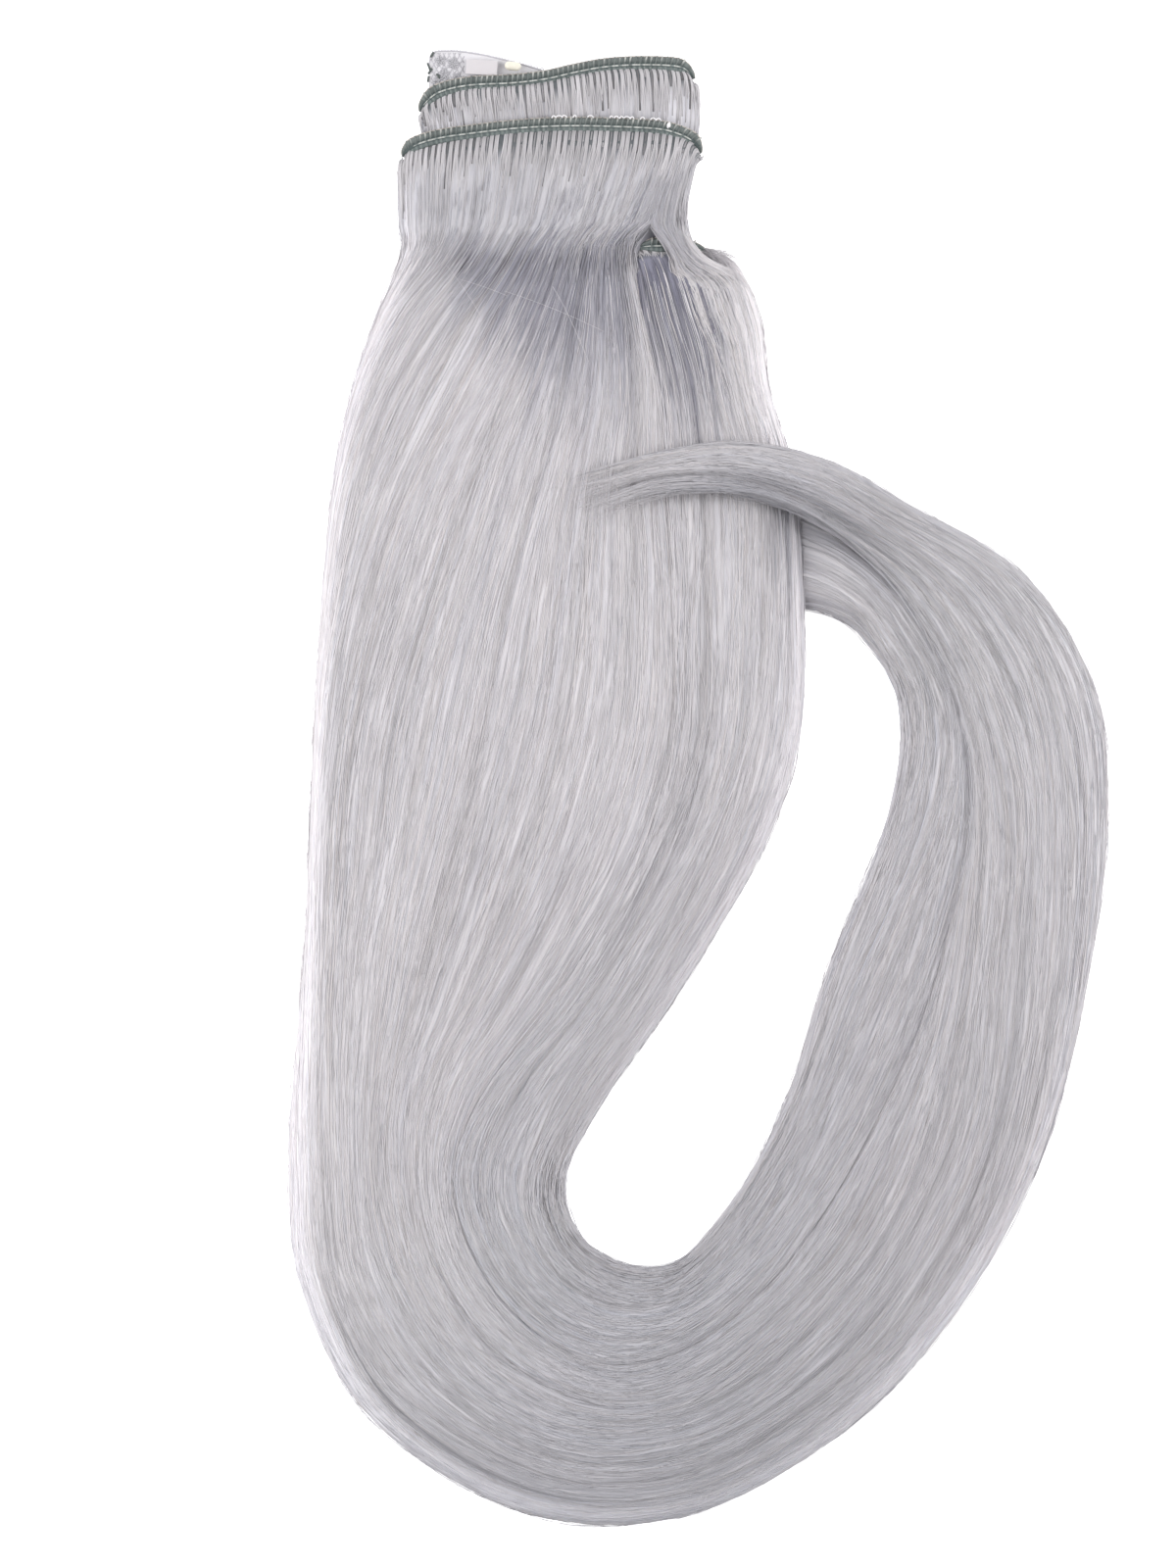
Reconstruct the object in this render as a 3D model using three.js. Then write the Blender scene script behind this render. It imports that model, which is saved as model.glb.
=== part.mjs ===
// A halo hair extension lying flat: a sewn weft folded into rows, a lace tab with the fittings of
// its head wire, and the long straight hair of each row, swept round in one loop.
// Millimetres, +Z up. The table is the plane z = 0, and +Y points from the hair to the weft.
import * as THREE from "three";

// Clearance between neighbouring pieces
const GAP = 0.3;

// Sewn band of a weft, and how finely it is cut along its path
const BAND_WIDTH = 3.2;
const BAND_THICKNESS = 1.6;
const BAND_CORNER = 0.5;
const BAND_STEPS = 32;

// Hair, cut into stations between two rows of its table and into panels across
const HAIR_STEPS_PER_ROW = 3;
const HAIR_PANELS = 10;

// Rounding of a free edge of hair and of the edge where two tresses lie side by side
// reach: how far in from the edge the rounding runs, as a share of the width
// height: where the top of the edge lies, as a share of the thickness
// lift: how far the underside of the edge leaves the base, as a share of the thickness
// inset: how far the edge keeps back from the line of its table
const FREE_EDGE = { reach: 0.42, height: 0.4, lift: 0.34, inset: 0 };
const SHARED_EDGE = { reach: 0.12, height: 0.8, lift: 0, inset: GAP };
const UNDERSIDE_REACH = 0.16;

// Share of the width over which the hair of the lower row bends down to the table at its sides
const ARCH_WALL = 0.05;

// Lace tab and its fittings
const LACE_THICKNESS = 1.0;
const LACE_BASE = 0.4;
const SLEEVE = { x: -44.3, y: 147.5, length: 6.4, width: 3.0, thickness: 0.7, turn: -0.06 };
const CRIMP = { x: -37.9, y: 147.7, length: 3.4, diameter: 1.8, turn: -0.1 };

// Path of the middle of each band, from its left end over the fold to its right end
const UPPER_BAND = [
  { x: -56.6, y: 138.4, z: 1.0 },
  { x: -56.2, y: 139.9, z: 2.4 },
  { x: -53.2, y: 142.4, z: 3.0 },
  { x: -47.0, y: 143.9, z: 3.0 },
  { x: -38.0, y: 144.4, z: 3.0 },
  { x: -31.2, y: 145.2, z: 3.0 },
  { x: -25.0, y: 146.6, z: 3.0 },
  { x: -18.8, y: 147.7, z: 3.0 },
  { x: -11.8, y: 148.1, z: 3.0 },
  { x: -4.2, y: 147.8, z: 2.8 },
  { x: -1.6, y: 146.4, z: 2.2 },
  { x: -1.0, y: 144.9, z: 1.0 },
];
const LOWER_BAND = [
  { x: -60.2, y: 129.2, z: 1.0 },
  { x: -59.7, y: 130.3, z: 3.2 },
  { x: -57.4, y: 131.6, z: 5.2 },
  { x: -53.0, y: 132.8, z: 5.9 },
  { x: -47.0, y: 133.7, z: 5.9 },
  { x: -37.4, y: 134.8, z: 5.9 },
  { x: -27.7, y: 135.3, z: 5.9 },
  { x: -18.0, y: 135.2, z: 5.9 },
  { x: -8.3, y: 134.7, z: 5.9 },
  { x: -4.0, y: 133.7, z: 5.7 },
  { x: -1.2, y: 132.4, z: 4.9 },
  { x: 0.1, y: 130.9, z: 3.0 },
  { x: 0.3, y: 129.9, z: 1.0 },
];
const TAIL_BAND = [
  { x: -12.6, y: 109.9, z: 4.6 },
  { x: -11.4, y: 110.5, z: 5.4 },
  { x: -8.0, y: 110.8, z: 5.7 },
  { x: -3.0, y: 110.5, z: 5.7 },
  { x: 0.4, y: 110.0, z: 5.2 },
  { x: 1.8, y: 109.0, z: 4.0 },
];

// Sections of each tress, from its weft to its end
// outer and inner: the two edges of the section, seen from above
// base and crown: the heights of its underside and of its top
// follow: how closely the section keeps to the line of the band it hangs from
// arch: 1 where the sides of the section reach down to the table round a hollow underside
const UPPER_HAIR = [
  { at: "weft", outer: [-56.8, 135.9], inner: [-1.0, 142.4], base: 1.8, crown: 3.8, follow: 1 },
  { at: "skirt", outer: [-57.3, 133.2], inner: [0.2, 137.4], base: 1.8, crown: 3.9, follow: 0.8 },
  { at: "under", outer: [-55.8, 126.0], inner: [-4.0, 127.5], base: 0.3, crown: 3.3, follow: 0.4 },
  { at: "end", outer: [-55.8, 119.0], inner: [-5.6, 119.0], base: 0.3, crown: 2.4, follow: 0.0 },
];
const LOWER_HAIR = [
  { at: "weft", outer: [-60.4, 126.7], inner: [0.8, 127.4], base: 4.0, crown: 6.7, follow: 1, arch: 1 },
  { at: "skirt", outer: [-61.5, 121.5], inner: [-0.4, 121.5], base: 4.0, crown: 8.6, follow: 0.6, arch: 1 },
  { at: "ridge", outer: [-61.5, 115.0], inner: [-2.6, 115.0], base: 3.8, crown: 9.6, arch: 1 },
  { at: "step", outer: [-61.8, 111.5], inner: [-13.8, 112.8], base: 2.4, crown: 8.0, arch: 1 },
  { at: "valley", outer: [-62.5, 106.5], inner: [-13.6, 107.0], base: 1.0, crown: 6.8, arch: 1 },
  { at: "shoulder", outer: [-65.5, 96.0], inner: [-12.2, 95.5], base: 0, crown: 8.0 },
  { at: "nape", outer: [-70.5, 81.0], inner: [-11.5, 79.5], base: 0, crown: 11.0 },
  { at: "crossing", outer: [-74.5, 62.5], inner: [-9.0, 61.5], base: 0, crown: 13.0 },
  { at: "belly", outer: [-77.0, 37.5], inner: [-5.5, 38.5], base: 0, crown: 14.5 },
  { at: "hip", outer: [-78.5, 11.5], inner: [-5.0, 11.5], base: 0, crown: 15.5 },
  { at: "waist", outer: [-79.5, -12.5], inner: [-12.5, -13.5], base: 0, crown: 16.0 },
  { at: "taper", outer: [-80.5, -34.5], inner: [-28.0, -41.5], base: 0, crown: 16.5 },
  { at: "turn", outer: [-82.0, -54.5], inner: [-43.5, -61.5], base: 0, crown: 17.0 },
  { at: "bend 1", outer: [-83.5, -76.5], inner: [-50.0, -79.5], base: 0, crown: 17.5 },
  { at: "bend 2", outer: [-81.0, -101.5], inner: [-44.5, -97.5], base: 0, crown: 18.0 },
  { at: "bend 3", outer: [-66.5, -128.5], inner: [-32.5, -111.0], base: 0, crown: 18.5 },
  { at: "bend 4", outer: [-35.5, -148.0], inner: [-17.5, -117.0], base: 0, crown: 18.5 },
  { at: "bend 5", outer: [-2.5, -149.0], inner: [-2.0, -113.5], base: 0, crown: 18.0 },
  { at: "bend 6", outer: [28.5, -132.5], inner: [14.5, -100.5], base: 0, crown: 17.5 },
  { at: "rise", outer: [51.5, -109.0], inner: [28.5, -81.5], base: 0, crown: 17.0 },
  { at: "lock low", outer: [68.5, -79.5], inner: [40.5, -58.5], base: 0, crown: 16.5 },
  { at: "lock mid", outer: [78.5, -45.5], inner: [48.5, -37.5], base: 0, crown: 16.0 },
  { at: "lock high", outer: [83.5, -8.5], inner: [55.0, -6.5], base: 0, crown: 15.5 },
  { at: "crest", outer: [81.0, 20.5], inner: [52.5, 17.5], base: 0, crown: 14.5 },
  { at: "fall", outer: [66.8, 43.4], inner: [42.5, 37.5], base: 0.5, crown: 13.5 },
  { at: "lift", outer: [44.5, 57.5], inner: [30.5, 49.5], base: 5.0, crown: 14.0 },
  { at: "over edge", outer: [27.5, 67.0], inner: [17.0, 56.0], base: 11.0, crown: 17.0 },
  { at: "over top", outer: [9.5, 70.0], inner: [4.5, 58.0], base: 14.4, crown: 18.6 },
  { at: "over mid", outer: [-6.5, 68.5], inner: [-9.0, 58.0], base: 14.6, crown: 18.0 },
  { at: "over low", outer: [-17.0, 65.0], inner: [-17.6, 56.4], base: 14.8, crown: 17.0 },
  { at: "tip", outer: [-24.0, 61.6], inner: [-23.8, 57.0], base: 15.0, crown: 16.0 },
];
// The second tress lies beside the main one: beside names the section whose inner edge it keeps to
const TAIL_HAIR = [
  { beside: "valley", inner: [2.8, 106.3], base: 1.0, crown: 6.2, follow: 1 },
  { beside: "shoulder", inner: [12.5, 97.0], base: 0, crown: 8.0 },
  { beside: "nape", inner: [14.5, 81.5], base: 0, crown: 10.0 },
  { beside: "crossing", inner: [19.5, 63.5], base: 0, crown: 11.5 },
  { beside: "belly", inner: [21.5, 38.5], base: 0, crown: 12.5 },
  { beside: "hip", inner: [21.0, 11.5], base: 0, crown: 13.5 },
  { beside: "waist", inner: [13.0, -12.5], base: 0, crown: 14.0 },
  { beside: "taper", inner: [-4.5, -42.5], base: 0, crown: 15.0 },
  { beside: "turn", inner: [-18.0, -62.0], base: 0, crown: 15.5 },
  { beside: "bend 1", inner: [-27.0, -79.0], base: 0, crown: 16.0 },
  { beside: "bend 2", inner: [-25.5, -89.5], base: 0, crown: 16.5 },
  { beside: "bend 3", inner: [-20.5, -95.0], base: 0, crown: 16.5 },
  { beside: "bend 4", inner: [-12.5, -98.0], base: 0, crown: 16.5 },
  { beside: "bend 5", inner: [-4.5, -97.0], base: 0, crown: 16.0 },
  { beside: "bend 6", inner: [2.8, -89.8], base: 0, crown: 16.0 },
  { beside: "rise", inner: [11.4, -77.0], base: 0, crown: 15.5 },
  { beside: "lock low", inner: [19.0, -60.5], base: 0, crown: 15.0 },
  { beside: "lock mid", inner: [26.0, -37.5], base: 0, crown: 14.0 },
  { beside: "lock high", inner: [38.0, -6.5], base: 0, crown: 13.0 },
  { beside: "crest", inner: [41.0, 16.5], base: 0, crown: 12.0 },
  { beside: "fall", inner: [33.0, 31.5], base: 0, crown: 10.0 },
  { outer: [29.6, 47.0], inner: [26.5, 35.0], base: 0, crown: 6.0 },
  { outer: [21.4, 51.5], inner: [20.8, 36.5], base: 0, crown: 2.0 },
];

// Outline of the lace tab, seen from above
const LACE_OUTLINE = [
  [-55.2, 141.0],
  [-55.2, 148.0],
  [-54.4, 150.6],
  [-51.2, 151.0],
  [-47.6, 150.8],
  [-42.0, 149.8],
  [-34.0, 147.7],
  [-28.6, 145.8],
  [-28.6, 141.0],
];

// A smooth curve through one set of columns of a table, with t from 0 at its first row to 1
function columns(rows, read) {
  const points = rows.map((row) => new THREE.Vector3(...read(row)));
  return new THREE.CatmullRomCurve3(points, false, "catmullrom");
}

// A closed body through rings of equal length, each listed left to right along its top and back
// along its underside
function bodyThroughRings(rings) {
  const size = rings[0].length;
  const positions = rings.flat().flatMap((point) => point.toArray());
  const faces = [];
  const quad = (a, b, c, d) => faces.push(a, b, c, a, c, d);
  for (let ring = 0; ring + 1 < rings.length; ring += 1) {
    for (let k = 0; k < size; k += 1) {
      const next = (k + 1) % size;
      const here = ring * size;
      const there = here + size;
      quad(here + k, there + k, there + next, here + next);
    }
  }
  const last = (rings.length - 1) * size;
  for (let k = 0; k + 1 < size / 2; k += 1) {
    const under = size - 1 - k;
    quad(k, k + 1, under - 1, under);
    quad(last + k + 1, last + k, last + under, last + under - 1);
  }
  const geometry = new THREE.BufferGeometry();
  geometry.setAttribute("position", new THREE.Float32BufferAttribute(positions, 3));
  geometry.setIndex(faces);
  return geometry;
}

// How far the line of a band leaves the straight line between its ends, at a share of its width
function bandSag(band) {
  const curve = columns(band, (row) => [row.x, row.y, row.z]);
  const line = curve.getPoints(BAND_STEPS * 4);
  const first = line[0];
  const end = line[line.length - 1];
  return (share) => {
    const x = THREE.MathUtils.lerp(first.x, end.x, THREE.MathUtils.clamp(share, 0, 1));
    const after = Math.max(1, line.findIndex((point) => point.x >= x));
    const from = line[after - 1];
    const to = line[after];
    const y = THREE.MathUtils.mapLinear(x, from.x, to.x, from.y, to.y);
    return y - THREE.MathUtils.lerp(first.y, end.y, share);
  };
}

// Height of the rounding of an edge, at a share of the width in from that edge
function roundedEdge(share, edge) {
  const inward = Math.min(1, share / edge.reach);
  const round = Math.sqrt(1 - (1 - inward) ** 2);
  return edge.height + (1 - edge.height) * round;
}

// Height of the underside of an edge above the base, at a share of the width in from that edge
function liftedEdge(share, edge) {
  const inward = Math.min(1, share / UNDERSIDE_REACH);
  return edge.lift * (1 - inward) ** 2;
}

// One tress: a section at each station, flat below and domed above
function tress(rows, { left, right, band }) {
  const outerLine = columns(rows, (row) => [...row.outer, row.follow ?? 0]);
  const innerLine = columns(rows, (row) => [...row.inner, row.arch ?? 0]);
  const heights = columns(rows, (row) => [row.base, row.crown, 0]);
  const sag = band ? bandSag(band) : () => 0;
  const stations = (rows.length - 1) * HAIR_STEPS_PER_ROW;
  const rings = [];
  for (let station = 0; station <= stations; station += 1) {
    const t = station / stations;
    const outer = outerLine.getPoint(t);
    const inner = innerLine.getPoint(t);
    const base = Math.max(0, heights.getPoint(t).x);
    const thickness = heights.getPoint(t).y - base;
    const follow = Math.max(0, outer.z);
    const arch = THREE.MathUtils.clamp(inner.z, 0, 1);
    const chord = inner.clone().sub(outer).setZ(0).normalize();
    outer.addScaledVector(chord, left.inset);
    inner.addScaledVector(chord, -right.inset);
    const top = [];
    const under = [];
    for (let panel = 0; panel <= HAIR_PANELS; panel += 1) {
      const across = (1 - Math.cos((Math.PI * panel) / HAIR_PANELS)) / 2;
      const x = THREE.MathUtils.lerp(outer.x, inner.x, across);
      const y = THREE.MathUtils.lerp(outer.y, inner.y, across) + follow * sag(across);
      const dome = Math.min(roundedEdge(across, left), roundedEdge(1 - across, right));
      const lift = Math.max(liftedEdge(across, left), liftedEdge(1 - across, right));
      const wall = 1 - Math.min(1, Math.min(across, 1 - across) / ARCH_WALL);
      const drop = arch * wall * Math.max(0, base - GAP);
      top.push(new THREE.Vector3(x, y, base + dome * thickness));
      under.unshift(new THREE.Vector3(x, y, base + (1 - arch) * lift * thickness - drop));
    }
    rings.push([...top, ...under]);
  }
  return bodyThroughRings(rings);
}

// A flat band along a path, its face turned outwards where the path folds down
function band(rows) {
  const path = columns(rows, (row) => [row.x, row.y, row.z]);
  const side = BAND_WIDTH / 2;
  const half = BAND_THICKNESS / 2;
  const outline = [
    [-side, half - BAND_CORNER],
    [-side + BAND_CORNER, half],
    [side - BAND_CORNER, half],
    [side, half - BAND_CORNER],
    [side, BAND_CORNER - half],
    [side - BAND_CORNER, -half],
    [-side + BAND_CORNER, -half],
    [-side, BAND_CORNER - half],
  ];
  const rings = [];
  for (let step = 0; step <= BAND_STEPS; step += 1) {
    const along = path.getTangent(step / BAND_STEPS);
    const face = new THREE.Vector3(-along.z, 0, along.x).normalize();
    const across = new THREE.Vector3(0, 1, 0);
    const middle = path.getPoint(step / BAND_STEPS);
    rings.push(
      outline.map(([wide, deep]) =>
        middle.clone().addScaledVector(across, wide).addScaledVector(face, deep),
      ),
    );
  }
  return bodyThroughRings(rings);
}

// A thin plate cut to an outline
function plate(outline, thickness, base) {
  const shape = new THREE.Shape(outline.map(([x, y]) => new THREE.Vector2(x, y)));
  const geometry = new THREE.ExtrudeGeometry(shape, { depth: thickness, bevelEnabled: false });
  return geometry.translate(0, 0, base);
}

// Add a piece to the part
const part = new THREE.Group();
function piece(name, geometry, color, roughness) {
  const material = new THREE.MeshStandardMaterial({ color, roughness, metalness: 0 });
  const mesh = new THREE.Mesh(geometry, material);
  mesh.name = name;
  part.add(mesh);
  return mesh;
}

// The folded weft
piece("weft_upper", band(UPPER_BAND), 0x868c8e, 0.7);
piece("weft_lower", band(LOWER_BAND), 0x7a8183, 0.7);
piece("weft_tail", band(TAIL_BAND), 0x7a8183, 0.7);

// The hair of each row
const upperEdges = { left: FREE_EDGE, right: FREE_EDGE, band: UPPER_BAND };
piece("hair_upper", tress(UPPER_HAIR, upperEdges), 0xc4c2c7, 0.5);
const lowerEdges = { left: FREE_EDGE, right: SHARED_EDGE, band: LOWER_BAND };
piece("hair_lower", tress(LOWER_HAIR, lowerEdges), 0xc9c6ca, 0.5);
const neighbour = (name) => LOWER_HAIR.find((row) => row.at === name);
const tailRows = TAIL_HAIR.map((row) => {
  const [x, y] = row.outer ?? neighbour(row.beside).inner;
  return { ...row, outer: [x, y] };
});
const tailEdges = { left: SHARED_EDGE, right: FREE_EDGE, band: TAIL_BAND };
piece("hair_tail", tress(tailRows, tailEdges), 0xc6c3c8, 0.5);

// The lace tab and its fittings
piece("lace_tab", plate(LACE_OUTLINE, LACE_THICKNESS, LACE_BASE), 0xd9d6db, 0.8);
const fittingBase = LACE_BASE + LACE_THICKNESS + GAP;
const sleeve = new THREE.BoxGeometry(SLEEVE.length, SLEEVE.width, SLEEVE.thickness);
const sleeveMesh = piece("clear_sleeve", sleeve, 0xe7e3e7, 0.15);
sleeveMesh.position.set(SLEEVE.x, SLEEVE.y, fittingBase + SLEEVE.thickness / 2);
sleeveMesh.rotation.z = SLEEVE.turn;
const crimp = new THREE.CapsuleGeometry(CRIMP.diameter / 2, CRIMP.length - CRIMP.diameter, 4, 12);
const crimpMesh = piece("wire_crimp", crimp.rotateZ(Math.PI / 2), 0xebe7e2, 0.4);
crimpMesh.position.set(CRIMP.x, CRIMP.y, fittingBase + CRIMP.diameter / 2);
crimpMesh.rotation.z = CRIMP.turn;

export default part;
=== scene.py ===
import math

import bpy
import numpy as np
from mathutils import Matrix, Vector


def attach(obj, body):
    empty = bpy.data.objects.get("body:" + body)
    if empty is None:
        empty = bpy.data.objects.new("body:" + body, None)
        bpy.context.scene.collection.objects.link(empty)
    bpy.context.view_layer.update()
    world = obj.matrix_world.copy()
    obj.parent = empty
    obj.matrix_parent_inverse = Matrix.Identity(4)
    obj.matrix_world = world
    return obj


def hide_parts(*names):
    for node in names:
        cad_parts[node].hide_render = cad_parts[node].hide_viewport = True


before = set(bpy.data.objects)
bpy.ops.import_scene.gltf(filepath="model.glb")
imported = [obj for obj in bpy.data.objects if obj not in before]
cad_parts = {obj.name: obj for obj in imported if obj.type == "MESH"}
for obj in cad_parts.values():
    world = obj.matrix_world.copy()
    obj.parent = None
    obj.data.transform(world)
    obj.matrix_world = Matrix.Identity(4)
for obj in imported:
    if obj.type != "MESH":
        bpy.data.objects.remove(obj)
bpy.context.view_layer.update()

# A halo hair extension lying on a white table. All tables are in millimetres, in the frame of the
# part: +Z up from the table, +Y from the hair to the weft.
scene = bpy.context.scene
MM = 0.001
UP = np.array([0.0, 0.0, 1.0])
NORTH = np.array([0.0, 1.0, 0.0])
FULL_TURN = 2 * math.pi
TINY = 1e-9

# Path of the middle of each sewn band, from its left end over the fold to its right end: x, y, z
UPPER_BAND = [
    (-56.6, 138.4, 1.0), (-56.2, 139.9, 2.4), (-53.2, 142.4, 3.0), (-47.0, 143.9, 3.0),
    (-38.0, 144.4, 3.0), (-31.2, 145.2, 3.0), (-25.0, 146.6, 3.0), (-18.8, 147.7, 3.0),
    (-11.8, 148.1, 3.0), (-4.2, 147.8, 2.8), (-1.6, 146.4, 2.2), (-1.0, 144.9, 1.0),
]
LOWER_BAND = [
    (-60.2, 129.2, 1.0), (-59.7, 130.3, 3.2), (-57.4, 131.6, 5.2), (-53.0, 132.8, 5.9),
    (-47.0, 133.7, 5.9), (-37.4, 134.8, 5.9), (-27.7, 135.3, 5.9), (-18.0, 135.2, 5.9),
    (-8.3, 134.7, 5.9), (-4.0, 133.7, 5.7), (-1.2, 132.4, 4.9), (0.1, 130.9, 3.0), (0.3, 129.9, 1.0),
]
TAIL_BAND = [
    (-12.6, 109.9, 4.6), (-11.4, 110.5, 5.4), (-8.0, 110.8, 5.7), (-3.0, 110.5, 5.7),
    (0.4, 110.0, 5.2), (1.8, 109.0, 4.0),
]

# Sections of a tress, from its weft to its end. Columns: outer x, y; inner x, y; heights of the base
# and of the crown; flow, which bends the strands towards the outer edge; depth of the groove at the
# right edge, as a share of the thickness; twist, which bends the strands towards the inner edge;
# follow, how closely the section keeps to the line of its band; depth of the groove at the left edge;
# rim, how far the left edge rises. A shorter row ends with the usual values
OX, OY, IX, IY, BASE, CROWN, FLOW, GROOVE_RIGHT, TWIST, FOLLOW, GROOVE_LEFT, RIM = range(12)
USUAL = (0, 0, 0, 0, 0, 0, 1, 0, 1, 0, 0, 0)
UPPER_ROWS = [
    (-56.8, 136.6, -0.6, 143.0, 1.6, 3.9, 1, 0, 1, 1.0),
    (-57.4, 133.2, 0.5, 137.4, 0.8, 4.2, 1, 0, 1, 0.8),
    (-55.8, 126.0, 0.2, 129.5, 0.3, 3.3, 1, 0, 1, 0.2),
    (-55.8, 119.0, -3.6, 119.0, 0.3, 2.4),
]
LOWER_ROWS = [
    (-61.0, 128.0, -3.2, 131.4, 0.3, 6.9, 1, 0, 1, 1.0),
    (-61.5, 121.5, -4.4, 121.5, 0.3, 8.5, 1, 0, 1, 0.5),
    (-61.2, 115.0, -9.4, 115.4, 0.3, 8.8),
    (-60.5, 110.5, -13.7, 111.4, 0.3, 7.8, 1.05, 0.05),
    (-62.2, 105.0, -13.4, 106.0, 0.2, 6.6, 1.2, 0.10),
    (-65.9, 96.0, -10.8, 95.5, 0, 7.6, 1.55, 0.12),
    (-70.8, 81.0, -7.8, 79.5, 0, 11.0, 2.0, 0.06),
    (-74.6, 62.5, -7.0, 61.5, 0, 13.0, 2.5, 0.03),
    (-77.0, 37.5, -5.5, 38.5, 0, 14.5, 3.2, 0.03),
    (-78.5, 11.5, -5.0, 11.5, 0, 15.5, 4.0, 0.03),
    (-79.5, -12.5, -12.5, -13.5, 0, 16.0, 4.3, 0.03),
    (-80.5, -34.5, -28.0, -41.5, 0, 16.5, 4.1, 0.04),
    (-82.2, -54.5, -43.5, -61.5, 0, 17.0, 3.3, 0.05),
    (-83.6, -76.5, -50.0, -79.5, 0, 17.5, 2.6, 0.05),
    (-81.3, -101.5, -44.5, -97.5, 0, 18.0, 2.6, 0.05),
    (-67.0, -128.7, -32.5, -111.0, 0, 18.5, 2.6, 0.05),
    (-36.0, -148.0, -17.5, -117.0, 0, 18.5, 2.6, 0.05),
    (-2.5, -148.8, -2.0, -113.5, 0, 18.0, 2.6, 0.05),
    (28.5, -132.5, 14.5, -100.5, 0, 17.5, 2.6, 0.05),
    (51.5, -109.0, 28.5, -81.5, 0, 17.0, 2.6, 0.05),
    (68.5, -79.5, 40.5, -58.5, 0, 16.5, 2.6, 0.05, 1.2),
    (78.5, -45.5, 48.5, -37.5, 0, 16.0, 2.6, 0.06, 1.7),
    (83.6, -8.5, 55.0, -6.5, 0, 15.5, 2.6, 0.07, 2.4),
    (81.0, 20.5, 52.5, 17.5, 0, 14.5, 2.6, 0.08, 3.0),
    (66.8, 43.4, 42.5, 37.5, 0.5, 13.5, 2.6, 0.10, 3.0),
    (43.5, 57.3, 30.5, 49.5, 5.0, 14.0, 2.6, 0.15, 3.0),
    (26.5, 66.4, 17.0, 56.8, 11.0, 17.0, 2.6, 0.2, 3.0),
    (8.5, 70.0, 4.5, 59.3, 14.0, 18.6, 2.6, 0.2, 2.5),
    (-6.5, 68.5, -8.0, 58.7, 14.0, 17.8, 2.3, 0.2, 1.8),
    (-16.5, 66.0, -17.8, 55.8, 14.0, 16.4, 2.3, 0.2, 1.8),
    (-26.0, 63.4, -24.6, 52.6, 13.9, 15.0, 2.3, 0.2, 1.8),
]
# The second tress keeps to the inner edge of the first. Columns: section of the first that it lies
# beside, inner x, y, crown, rim, and flow where it isn't 1
TAIL_BESIDE = [
    (4, 5.4, 108.6, 5.6, 0), (5, 12.3, 97.2, 8.0, 0, 0.85), (6, 14.5, 81.5, 10.4, 0.6, 0.75),
    (7, 19.5, 63.5, 12.0, 1.0, 0.75), (8, 21.5, 38.5, 13.0, 1.5, 0.85), (9, 21.0, 11.5, 14.0, 1.5),
    (10, 13.4, -12.5, 14.5, 1.5), (11, -4.3, -42.5, 15.5, 1.0), (12, -18.0, -62.0, 16.0, 1.0),
    (13, -27.0, -79.0, 16.5, 1.0), (14, -25.3, -89.5, 17.0, 1.0), (15, -20.3, -95.0, 17.0, 1.5),
    (16, -12.5, -98.0, 17.0, 1.5), (17, -4.5, -97.0, 16.5, 1.5), (18, 3.0, -89.8, 16.5, 1.0),
    (19, 11.8, -77.0, 16.0, 1.0), (20, 19.2, -60.5, 15.5, 0.9, 1.1), (21, 26.4, -37.5, 14.5, 1.1, 1.3),
    (22, 38.6, -6.5, 13.5, 1.3, 1.7), (23, 41.2, 16.5, 12.0, 1.4, 2.6), (24, 33.4, 30.6, 10.0, 1.2, 3.0),
]
TAIL_END = [
    (31.0, 49.5, 26.5, 35.4, 0, 8.0, 3.0, 0, 1, 0, 0.2),
    (18.0, 56.0, 18.0, 36.9, 0, 5.0, 3.0, 0, 1, 0, 0.2),
]
# The lock of the lower row that crosses the stub and fans out over the second tress
SIDE_ROWS = [
    (-3.4, 131.6, 1.2, 128.4, 0.3, 6.9, 1, 0, 1, 1.0),
    (-5.4, 121.5, -0.6, 121.5, 0.3, 8.5, 1, 0, 1, 0.5),
    (-9.4, 115.6, -2.6, 115.6, 0.3, 8.9),
    (-8.2, 112.8, -1.6, 113.0, 6.2, 8.9, 1, 0, 1, 0, 0.1),
    (-5.4, 108.2, 0.4, 109.0, 5.6, 8.7, 1, 0, 1, 0, 0.2),
    (-4.6, 102.0, 8.6, 103.8, 4.2, 8.6, 1, 0, 1, 0, 0.3),
    (-4.4, 95.0, 12.3, 97.2, 3.0, 8.9, 1, 0, 1, 0, 0.4),
    (-3.0, 88.0, 13.8, 89.6, 2.6, 9.5, 1, 0, 1, 0, 0.4),
    (-0.6, 76.0, 15.6, 77.0, 2.6, 10.4, 1, 0, 1, 0, 0.4),
    (3.5, 61.5, 19.8, 62.5, 2.6, 12.0, 1, 0, 1, 0, 0.4),
]
# Where it lies on the second tress: its section, the section of that tress, p of its left edge there
SIDE_PLACES = [
    (4, 0.0, 0.45), (5, 0.43, 0.42), (6, 1.0, 0.40), (7, 1.5, 0.47), (8, 2.2, 0.55), (9, 3.0, 0.62),
]
# It comes down between these sections, and lies this high at first
SIDE_LANDS, SIDE_LIFT = (4.2, 5.8), 0.2


# Curves and surfaces


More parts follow.
